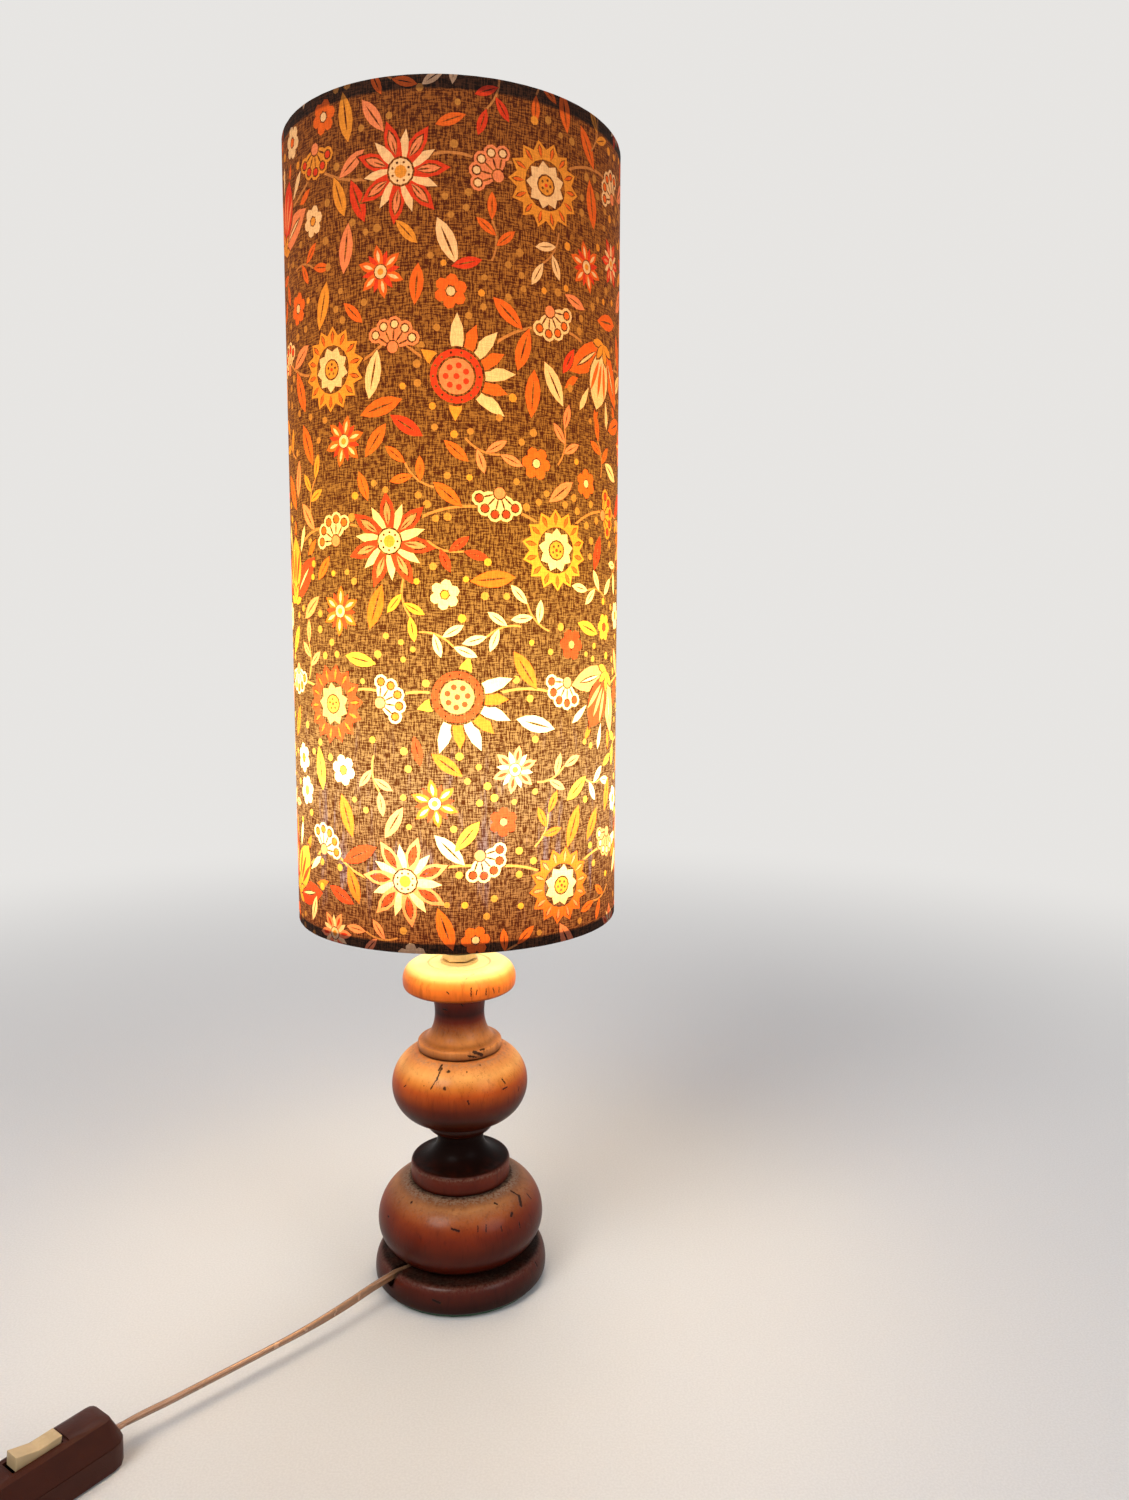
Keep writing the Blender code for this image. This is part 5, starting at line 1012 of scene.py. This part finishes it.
# Marks in the wood, by the pixels of the photograph that they show at: start, end and width in mm
WOOD_MARKS = {
    "top_cap": (
        ((471, 988), (471, 996), 0.5), ((477, 990), (476, 995), 0.4), ((486, 989), (486, 995), 0.45),
        ((493, 988), (494, 993), 0.4), ((499, 987), (499, 992), 0.4), ((447, 992), (449, 994), 0.5),
        ((466, 979), (474, 974), 0.35),
    ),
    "upper_neck": (
        ((474, 1052), (482, 1055), 1.3), ((480, 1050), (484, 1049), 0.8), ((468, 1056), (476, 1057), 0.6),
        ((443, 1009), (447, 1010), 0.5), ((461, 1004), (463, 1006), 0.5),
    ),
    "upper_ball": (
        ((442, 1068), (437, 1079), 0.75), ((437, 1079), (431, 1089), 0.6), ((442, 1065), (439, 1070), 0.9),
        ((448.6, 1071.5), (448.6, 1071.5), 1.35), ((444.6, 1088.7), (444.6, 1088.7), 1.3),
        ((467, 1072), (467, 1072), 0.65), ((502, 1079), (505, 1083), 0.6), ((503, 1089), (507, 1087), 0.6),
        ((424, 1086), (424, 1086), 0.55), ((404, 1087), (406, 1085), 0.5), ((468, 1101), (469, 1104), 0.6),
        ((519, 1087), (518, 1091), 0.4),
    ),
    "lower_ball": (
        ((511, 1191), (519, 1196), 0.8), ((519, 1196), (521, 1205), 1.5), ((512, 1213), (511, 1216), 1.0),
        ((495, 1203), (497, 1204), 0.8), ((527, 1194), (531, 1199), 0.6), ((452, 1229), (459, 1231), 0.7),
        ((478, 1226), (478, 1232), 0.4), ((486, 1225), (486, 1232), 0.4), ((501, 1226), (502, 1231), 0.45),
        ((519, 1222), (520, 1228), 0.5), ((388, 1216), (389, 1217), 0.6),
    ),
    "base_plinth": (
        ((433, 1300), (440, 1303), 0.8), ((535, 1262), (537, 1266), 0.6),
    ),
}


def on_piece(piece, camera, pixel):
    """The place on a piece that a pixel of the photograph shows."""
    hit, place, _, _ = piece.ray_cast(CAMERA_PLACE, pixel_ray(camera, *pixel))
    if not hit:
        raise ValueError(f"no {piece.name} at pixel {pixel}")
    return place


def make_wood(camera):
    seed = 0.0
    for node, outline in WOOD_OUTLINES.items():
        piece = lathe(f"turned_{node}", outline(), WOOD_COLUMNS)
        if node == "base_plinth":
            cut_cord_slot(piece)
        paint_wood(piece.data, node)
        bpy.context.view_layer.update()
        marks = []
        for start, end, width in WOOD_MARKS.get(node, ()):
            marks.append((on_piece(piece, camera, start), on_piece(piece, camera, end), width / 1000))
        seed += 0.37
        piece.data.materials.append(wood_material(f"stained_and_painted_light_{node}", marks, seed))
        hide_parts(node)
        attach(piece, "lamp")


def cut_cord_slot(piece):
    """The slot in the foot's top through which the flex comes out, round at its bottom."""
    half = SLOT_HALF
    round_height = SLOT_FLOOR + half
    roof = 0.0200
    reaches = (0.0120, 0.0560)
    across = SLOT_OUTWARD.cross(UP)
    section = [(-half, roof), (-half, round_height)]
    section += arc((0, round_height), (half, half), 180, 360, 10)[1:-1]
    section += [(half, round_height), (half, roof)]
    sheet = bmesh.new()
    rings = []
    for reach in reaches:
        rings.append([sheet.verts.new(SLOT_OUTWARD * reach + across * a + UP * b) for a, b in section])
    bridge(sheet, *rings)
    for ring in rings:
        sheet.faces.new(ring)
    cutter = link_mesh("slot_cutter", sheet)
    modifier = piece.modifiers.new("slot", "BOOLEAN")
    modifier.operation = "DIFFERENCE"
    modifier.solver = "EXACT"
    modifier.object = cutter
    apply_modifiers(piece)
    piece.data.set_sharp_from_angle(angle=SMOOTH_ANGLE)
    bpy.data.objects.remove(cutter)


# The shade's print: its inks, how many flowers stand round the shade and up it, and their room

CREAM = (0.60, 0.42, 0.20)
OCHRE = (0.33, 0.155, 0.030)
STEM = (0.36, 0.155, 0.040)
GOLD = (0.52, 0.215, 0.025)
ORANGE = (0.52, 0.098, 0.012)
RED = (0.47, 0.036, 0.010)
PEACH = (0.56, 0.180, 0.068)
LINE = (0.030, 0.010, 0.004)
GROUND = (0.040, 0.017, 0.006)
COLUMNS = 7
ROWS = 5
CELL = 0.01
MAIN_ROOM = 0.0205
MEDIUM_ROOM = 0.0125
MEDIUM_SIZE = 0.0145
SMALL_STAR = 0.015
STEM_WIDTH = 0.0013
TWIG_WIDTH = 0.0010
LEAF_GAP = 0.0010


def polar(radius, angle):
    return Vector((radius * math.cos(angle), radius * math.sin(angle)))


def spokes(turn, count, start=0):
    """Angles spread evenly round a full turn."""
    return [turn + math.tau * (number + start) / count for number in range(count)]


class Print:
    """Flat shapes in layers, in metres round the shade and up it, and the room they take."""

    def __init__(self):
        self.width = math.tau * SHADE_RADIUS
        self.height = SHADE_TOP - SHADE_BOTTOM
        self.shapes = []
        self.cells = {}

    def add(self, points, colour):
        points = [Vector(point) for point in points]
        area = sum(here.x * then.y - here.y * then.x for here, then in zip(points, points[1:] + points[:1]))
        self.shapes.append((points if area > 0 else points[::-1], colour))

    def disc(self, centre, radius, colour, sides):
        self.add([centre + polar(radius, math.tau * s / sides) for s in range(sides)], colour)

    def petal(self, foot, angle, length, width, colour, blunt=1.0, steps=3):
        """A petal or leaf from its foot. blunt 1 is widest half-way, and less is wider at the tip."""
        along = polar(1, angle)
        across = polar(1, angle + math.radians(90))
        left = []
        right = []
        for step in range(1, steps + 1):
            share = step / (steps + 1)
            half = width / 2 * math.sin(math.pi * share ** (1 / blunt)) ** 0.8
            middle = foot + along * length * share
            left.append(middle + across * half)
            right.append(middle - across * half)
        self.add([foot] + right + [foot + along * length] + left[::-1], colour)

    def stem(self, start, end, bend, width, colour, steps=8):
        """A curved ribbon from start to end, swung sideways by bend."""
        middle = (start + end) / 2 + (end - start).orthogonal() * bend
        line = []
        for share in [step / steps for step in range(steps + 1)]:
            ends = start * (1 - share) ** 2 + middle * (2 * share * (1 - share))
            line.append(ends + end * share**2)
        left = []
        right = []
        for number, point in enumerate(line):
            run = line[min(number + 1, steps)] - line[max(number - 1, 0)]
            across = run.orthogonal().normalized() * width / 2
            left.append(point + across)
            right.append(point - across)
        self.add(left + right[::-1], colour)
        return line

    def near_cells(self, centre, radius):
        low = [int((value - radius) // CELL) for value in centre]
        high = [int((value + radius) // CELL) for value in centre]
        return [(x, y) for x in range(low[0], high[0] + 1) for y in range(low[1], high[1] + 1)]

    def free(self, circles):
        for centre, radius in circles:
            for cell in self.near_cells(centre, radius):
                for other, taken in self.cells.get(cell, ()):
                    if (centre - other).length < radius + taken:
                        return False
        return True

    def take(self, circles):
        for centre, radius in circles:
            for cell in self.near_cells(centre, radius):
                self.cells.setdefault(cell, []).append((centre, radius))


class Motif:
    """Draws on the print in shares of one flower's size."""

    def __init__(self, cloth, size):
        self.cloth = cloth
        self.size = size

    def petal(self, foot, angle, length, width, colour, blunt=1.0, steps=3, out=0):
        """A petal whose foot lies out from the given one by a share of the size."""
        foot = foot + polar(self.size * out, angle)
        self.cloth.petal(foot, angle, self.size * length, self.size * width, colour, blunt, steps)

    def lined(self, foot, angle, lengths, widths, colour, blunt=1.0, steps=3, out=0):
        """A petal on a larger dark one, which shows as its outline."""
        for length, width, ink in zip(lengths, widths, (LINE, colour)):
            self.petal(foot, angle, length, width, ink, blunt, steps, out)

    def discs(self, centre, rows):
        for radius, colour, sides in rows:
            self.cloth.disc(centre, self.size * radius, colour, sides)

    def dots(self, centre, reach, angles, radius, colour, sides):
        for angle in angles:
            self.discs(centre + polar(self.size * reach, angle), ((radius, colour, sides),))


def draw_wheel(cloth, centre, size, turn, rng):
    """A round flower: two rings of blunt petals round a dotted eye."""
    outer, streak, inner = rng.choice(((ORANGE, PEACH, CREAM), (RED, ORANGE, PEACH), (GOLD, ORANGE, CREAM)))
    motif = Motif(cloth, size)
    for angle in spokes(turn, 14):
        motif.petal(centre, angle, 1.03, 0.52, LINE, 0.60)
    for angle in spokes(turn, 14):
        motif.petal(centre, angle, 0.98, 0.42, outer, 0.60)
        motif.lined(centre, angle, (0.32, 0.29), (0.13, 0.08), streak, 0.8, 2, 0.58)
    motif.discs(centre, ((0.56, LINE, 18),))
    for angle in spokes(turn, 9, 0.5):
        motif.petal(centre, angle, 0.53, 0.30, inner, 0.75)
    motif.discs(centre, ((0.25, LINE, 12), (0.21, GOLD, 12)))
    motif.dots(centre, 0.12, spokes(turn, 5), 0.035, LINE, 6)
    motif.discs(centre, ((0.045, RED, 6),))


def draw_star(cloth, centre, size, turn, rng):
    """A pointed flower with long lined petals and short ones by turns."""
    long_one, lining, short_one = rng.choice(((RED, PEACH, CREAM), (ORANGE, CREAM, RED), (PEACH, RED, CREAM)))
    motif = Motif(cloth, size)
    small = size < SMALL_STAR
    count = 12 if small else 14
    for layer in (0, 1):
        for number, angle in enumerate(spokes(turn, count)):
            odd = number % 2
            length = size * (0.80 if odd else 1.0) * (1.0 if layer else 1.05)
            wide = size * (0.24 if odd else 0.40) * (0.84 if layer else 1.08) * 14 / count
            colour = (short_one if odd else long_one) if layer else LINE
            cloth.petal(centre, angle, length, wide, colour, 0.92)
    for angle in spokes(turn, count)[::2]:
        if small:
            motif.petal(centre, angle, 0.48, 0.14, lining, 0.95, 2, 0.32)
        else:
            motif.lined(centre, angle, (0.52, 0.48), (0.20, 0.14), lining, 0.95, 3, 0.32)
            motif.petal(centre, angle, 0.30, 0.035, LINE, 1.0, 2, 0.32)
    motif.discs(centre, ((0.29, LINE, 12), (0.25, CREAM, 12), (0.13, GOLD, 8)))
    motif.dots(centre, 0.18, () if small else spokes(turn, 8), 0.028, LINE, 5)


def draw_tulip(cloth, centre, size, turn, rng):
    """A cup of petals with a striped heart under a crown of small drops."""
    side, heart = rng.choice(((ORANGE, CREAM), (RED, GOLD), (PEACH, RED)))
    motif = Motif(cloth, size)
    foot = centre - polar(size * 0.42, turn)
    for number in range(-2, 3):
        angle = turn + math.radians(19 * number)
        drop = CREAM if number % 2 else ORANGE
        motif.lined(foot, angle, (0.37, 0.34), (0.13, 0.09), drop, 0.70, 3, 0.62)
    for grow, rim, colour in ((1.06, 0.06, LINE), (0.99, 0, side)):
        for lean in (-46, 46):
            length = size * 0.80 * grow
            cloth.petal(foot, turn + math.radians(lean), length, size * (0.30 * grow + rim), colour, 0.95, 5)
    for lean in (-46, 46):
        angle = turn + math.radians(lean)
        motif.petal(foot, angle, 0.46, 0.07, LINE, 0.9, 3, 0.20)
        motif.petal(foot, angle, 0.40, 0.035, CREAM, 0.9, 2, 0.22)
    motif.lined(foot, turn, (0.82, 0.78), (0.50, 0.43), heart, 0.85, 6)
    for lean in (-15, 0, 15):
        motif.petal(foot, turn + math.radians(lean), 0.42, 0.070, side, 1.0, 3, 0.22)
    for lean in (-75, -28, 28, 75):
        motif.lined(foot, turn + math.radians(lean), (0.27, 0.24), (0.13, 0.09), GOLD, 0.9)


def draw_seedpod(cloth, centre, size, turn, rng):
    """A round pod full of seeds, with a crown of pointed petals."""
    body, crown = rng.choice(((RED, CREAM), (ORANGE, PEACH), (RED, GOLD)))
    motif = Motif(cloth, size)
    middle = centre - polar(size * 0.16, turn)
    for number in range(-3, 4):
        angle = turn + math.radians(21 * number)
        start = middle + polar(size * 0.10, angle)
        reach = size * (0.60 if number % 2 else 0.52)
        cloth.petal(start, angle, reach, size * 0.20, LINE, 0.85)
        cloth.petal(start, angle, reach * 0.93, size * 0.15, crown if number % 2 else ORANGE, 0.85)
    for lean in (-118, 118):
        motif.lined(middle, turn + math.radians(lean), (0.50, 0.47), (0.22, 0.16), GOLD, 0.9)
    face = PEACH if body == RED else CREAM
    motif.discs(middle, ((0.315, LINE, 20), (0.285, body, 20), (0.215, LINE, 16), (0.190, face, 16)))
    motif.dots(middle, 0, (0,), 0.034, body, 7)
    motif.dots(middle, 0.115, spokes(turn, 7), 0.034, body, 7)
    motif.dots(middle, 0.25, spokes(turn, 14), 0.016, LINE, 5)


def draw_fan(cloth, centre, size, turn, rng):
    """A half-open flower of five round petals on a small cup."""
    outer, inner = rng.choice(((CREAM, ORANGE), (CREAM, RED), (GOLD, RED), (PEACH, CREAM)))
    motif = Motif(cloth, size)
    foot = centre - polar(size * 0.55, turn)
    layers = ((0.300, LINE), (0.255, outer), (0.170, LINE), (0.120, inner))
    for layer, (radius, colour) in enumerate(layers):
        for number in range(-2, 3):
            angle = turn + math.radians(31 * number)
            motif.dots(foot, 0.72, (angle,), radius, colour, 10 - layer)
            if layer == 1:
                motif.petal(foot, angle, 0.80, 0.30, outer, 0.8)
            if layer == 3:
                motif.petal(foot, angle, 0.46, 0.07, LINE, 0.9, 2, 0.16)
    motif.discs(foot, ((0.24, LINE, 10), (0.19, PEACH, 10)))


def draw_posy(cloth, centre, size, turn, rng):
    """A small flower of six round petals."""
    inks = ((CREAM, GOLD), (CREAM, ORANGE), (ORANGE, CREAM), (GOLD, RED), (RED, PEACH), (ORANGE, CREAM))
    colour, eye = rng.choice(inks)
    motif = Motif(cloth, size)
    motif.dots(centre, 0.60, spokes(turn, 6), 0.42, LINE, 7)
    motif.dots(centre, 0.60, spokes(turn, 6), 0.355, colour, 7)
    motif.discs(centre, ((0.32, LINE, 8), (0.25, eye, 8)))


def draw_leaf(cloth, foot, angle, length, colour):
    motif = Motif(cloth, length)
    motif.petal(foot - polar(length * 0.02, angle), angle, 1.05, 0.44, LINE, 0.95)
    motif.petal(foot, angle, 1, 0.36, colour, 0.95, 4)
    motif.petal(foot, angle, 0.70, 0.050, LINE, 1.0, 2, 0.12)


def leaf_colour(rng):
    return rng.choice((ORANGE, ORANGE, PEACH, RED, CREAM, GOLD, ORANGE, CREAM))


def leaf_room(foot, angle, length):
    shares = ((0.2, 0.11), (0.5, 0.20), (0.82, 0.12))
    return [(foot + polar(1, angle) * length * share, length * wide) for share, wide in shares]


def draw_spray(cloth, centre, size, turn, rng):
    """Three leaves on a forked stem."""
    start = centre - polar(size * 0.5, turn)
    bend = rng.choice((-0.25, 0.25))
    line = cloth.stem(start, centre + polar(size * 0.10, turn), bend, TWIG_WIDTH, STEM)
    colour = leaf_colour(rng)
    draw_leaf(cloth, line[-1], turn, size * 0.42, colour)
    draw_leaf(cloth, line[5], turn + math.radians(52), size * 0.40, colour)
    draw_leaf(cloth, line[3], turn - math.radians(50), size * 0.40, colour)


def draw_dot(cloth, centre, radius, colour):
    cloth.disc(centre, radius * 1.08, colour, 7)


def leafed_stem(cloth, start, end, bend, rng):
    """A stem with leaves by turns on both sides, where there is room, and dots beside it."""
    steps = 14
    line = cloth.stem(start, end, bend, STEM_WIDTH, STEM, steps)
    side = rng.choice((-1, 1))
    for step in (2, 4, 5, 7, 9, 10, 12):
        run = line[step + 1] - line[step - 1]
        heading = math.atan2(run.y, run.x) + side * math.radians(rng.uniform(38, 62))
        length = rng.uniform(0.0175, 0.0235)
        room = leaf_room(line[step] + polar(LEAF_GAP, heading), heading, length)
        if cloth.free(room):
            draw_leaf(cloth, line[step], heading, length, leaf_colour(rng))
            cloth.take(room)
            side = -side
    needed = 0.0022
    taken = 0.0028
    for step in range(1, steps):
        run = line[step + 1] - line[step - 1]
        across = run.orthogonal().normalized() * rng.choice((-1, 1))
        place = line[step] + across * rng.uniform(0.0038, 0.0050)
        if cloth.free([(place, needed)]):
            draw_dot(cloth, place, 0.0019, OCHRE)
            cloth.take([(place, taken)])
    cloth.take([(point, 0.0009) for point in line])


def near_grid(cloth, rng, column, row, stray):
    """A place close to a point of the print's grid."""
    across = column / COLUMNS * cloth.width
    up = row / ROWS * cloth.height
    return Vector((across + rng.uniform(-stray, stray), up + rng.uniform(-0.008, 0.008)))


def anywhere(cloth, rng, over):
    return Vector((rng.uniform(0, cloth.width), rng.uniform(-over, cloth.height + over)))


def draw_print():
    """A scattered flower print of the builder's own, drawn in layers."""
    rng = random.Random(41)
    cloth = Print()
    mains = []
    mediums = []
    for row in range(ROWS):
        shift = 0.5 * (row % 2)
        for column in range(COLUMNS):
            centre = near_grid(cloth, rng, column + 0.25 + shift, row + 0.42, 0.007)
            mains.append((centre, (row * 2 + column * 3) % 4, rng.uniform(0, math.tau)))
            centre = near_grid(cloth, rng, column + 0.75 + shift, row + 0.62, 0.008)
            mediums.append((centre, rng.uniform(0, math.tau)))
    cloth.take([(centre, MAIN_ROOM) for centre, _, _ in mains])
    cloth.take([(centre, MEDIUM_ROOM) for centre, _ in mediums])
    for centre, _ in mediums:
        near = sorted(mains, key=lambda main: (main[0] - centre).length)
        for number, main in enumerate(near[:2]):
            bend = (-1) ** number * rng.uniform(0.18, 0.30)
            leafed_stem(cloth, centre, main[0], bend, rng)
    kinds = ((draw_wheel, 0.0205), (draw_star, 0.0235), (draw_tulip, 0.0440), (draw_seedpod, 0.0440))
    for centre, kind, turn in mains:
        draw, size = kinds[kind]
        draw(cloth, centre, size, turn, rng)
    for centre, turn in mediums:
        draw_fan(cloth, centre, MEDIUM_SIZE, turn, rng)
    fillers = (
        (90, 0.0130, draw_star, 0.95),
        (160, 0.0084, draw_posy, 1.0),
        (1800, 0.0112, draw_spray, 2.7),
        (420, 0.0078, draw_posy, 1.0),
    )
    for tries, size, draw, grow in fillers:
        for _ in range(tries):
            centre = anywhere(cloth, rng, 0.006)
            if cloth.free([(centre, size)]):
                draw(cloth, centre, size * grow, rng.uniform(0, math.tau), rng)
                cloth.take([(centre, size)])
    for length, tries in ((0.0230, 1500), (0.0190, 1200), (0.0150, 900)):
        for _ in range(tries):
            foot = anywhere(cloth, rng, 0.008)
            heading = rng.uniform(0, math.tau)
            room = leaf_room(foot, heading, length * 1.2)
            if cloth.free(room):
                draw_leaf(cloth, foot, heading, length, leaf_colour(rng))
                cloth.take(room)
    needed = 0.0026
    taken = 0.0034
    for _ in range(4000):
        centre = anywhere(cloth, rng, 0.006)
        if cloth.free([(centre, needed)]):
            draw_dot(cloth, centre, rng.uniform(0.0014, 0.0020), rng.choice((OCHRE, OCHRE, OCHRE, GOLD)))
            cloth.take([(centre, taken)])
    return cloth


# The shade's cloth: the print, hemmed over both wires and lapped at the seam

HEM = 0.0060
HEM_INWARD = 0.0045
HEM_LIFT = 0.00005
EDGE = 0.0011
LAP = 0.0070
OVERLAP = 0.00045


def hem_profile(past, outer):
    """Radius and height above the edge of a hem, past metres beyond the edge."""
    start = outer - EDGE * 0.5
    flat = HEM_INWARD - EDGE * 0.5
    if past < flat:
        return start - past, HEM_LIFT
    return start - flat, past - flat


def cloth_place(across, up, width, height):
    """Rolls a place on the flat cloth round the shade, and its hems over the two wires."""
    outer = SHADE_RADIUS - OVERLAP + OVERLAP * smooth_share((across - width + LAP) / LAP)
    if up < 0:
        radius, z = hem_profile(-up, outer)
        z = SHADE_BOTTOM + z
    elif up > height:
        radius, z = hem_profile(up - height, outer)
        z = SHADE_TOP - z
    else:
        ease = min(up, height - up, EDGE) / EDGE
        radius = outer - EDGE * 0.5 * (1 - ease) ** 2
        z = SHADE_BOTTOM + up
    angle = math.radians(90) + math.tau * across / width
    return Vector((radius * math.cos(angle), radius * math.sin(angle), z))


def cut_cloth(cloth, low, high):
    """Cuts the flat cloth along its print, its hems and an even grid. Each face knows its ink."""
    height = cloth.height
    lines = 72
    levels = [low, low + HEM, 0, EDGE / 2, EDGE, height / 2]
    levels += [height - EDGE, height - EDGE / 2, height, high - HEM, high]
    count = len(levels)
    verts = []
    edges = []
    for line in range(lines + 1):
        verts += [Vector(((cloth.width + LAP) * line / lines, level)) for level in levels]
        edges += [(line * count + number, line * count + number + 1) for number in range(count - 1)]
    for number in range(count):
        edges += [(line * count + number, (line + 1) * count + number) for line in range(lines)]
    faces = []
    for points, _ in cloth.shapes:
        faces.append(list(range(len(verts), len(verts) + len(points))))
        verts.extend(points)
    verts, _, faces, _, _, owners = geometry.delaunay_2d_cdt(verts, edges, faces, 0, 1e-7)
    inks = [cloth.shapes[max(shapes)][1] if shapes else GROUND for shapes in owners]
    return verts, faces, inks


def make_shade_cloth(material):
    cloth = draw_print()
    width = cloth.width
    high = cloth.height + HEM_INWARD - EDGE * 0.5 + HEM
    low = cloth.height - high
    points, faces, inks = cut_cloth(cloth, low, high)
    sheet = bmesh.new()
    ink_layer = sheet.loops.layers.float_color.new("print")
    made = []
    margin = 1e-6
    for x, y in points:
        inside = -margin < x < width + LAP + margin and low - margin < y < high + margin
        made.append(sheet.verts.new(cloth_place(x, y, width, cloth.height)) if inside else None)
    ground_layer = sheet.faces.layers.float.new("ground")
    for face, ink in zip(faces, inks):
        corners = [made[index] for index in face]
        if None in corners:
            continue
        try:
            patch = sheet.faces.new(corners)
        except ValueError:
            continue
        patch[ground_layer] = 1.0 if ink in (LINE, GROUND) else 0.0
        for loop in patch.loops:
            loop[ink_layer] = (*ink, 1)
    loose = [vert for vert in sheet.verts if not vert.link_faces]
    bmesh.ops.delete(sheet, geom=loose, context="VERTS")
    mesh = bpy.data.meshes.new("printed_cloth")
    sheet.to_mesh(mesh)
    sheet.free()
    mesh.shade_smooth()
    mesh.set_sharp_from_angle(angle=math.radians(40))
    mesh.materials.append(material)
    piece = bpy.data.objects.new("printed_cloth", mesh)
    scene.collection.objects.link(piece)
    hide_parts("shade_cloth")
    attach(piece, "lamp")


# CAD nodes whose edges are rounded off, and by how much
EDGE_ROUNDING = {
    "switch_lower_case": 0.0007,
    "switch_upper_case": 0.0007,
    "switch_rocker": 0.0005,
    "plug_body": 0.0009,
    "coil_tie": 0.0003,
    "holder_cap": 0.0006,
    "holder_body": 0.0005,
    "shade_ring_nut": 0.0006,
    "upper_washer": 0.0002,
    "upper_nut": 0.0003,
    "shade_fitter": 0.0002,
}


def main():
    camera = make_camera()
    make_world()
    make_floor()
    make_lights()
    finishes = make_finishes()
    slots = {part["node"]: part["material_slot"] for part in frame["record"]["subparts"]}
    pieces = dict(frame["nodes"])
    for node, piece in pieces.items():
        if slots[node] in finishes:
            piece.data.materials.clear()
            piece.data.materials.append(finishes[slots[node]])
    make_wood(camera)
    for node, width in EDGE_ROUNDING.items():
        pieces[node] = softened(node, width, finishes[slots[node]])
        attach(pieces[node], "rocker" if node == "switch_rocker" else "lamp")
    make_cords(finishes["gold_flex"])
    make_shade_cloth(finishes["shade_cloth"])
    scene.view_settings.view_transform = "Standard"


main()
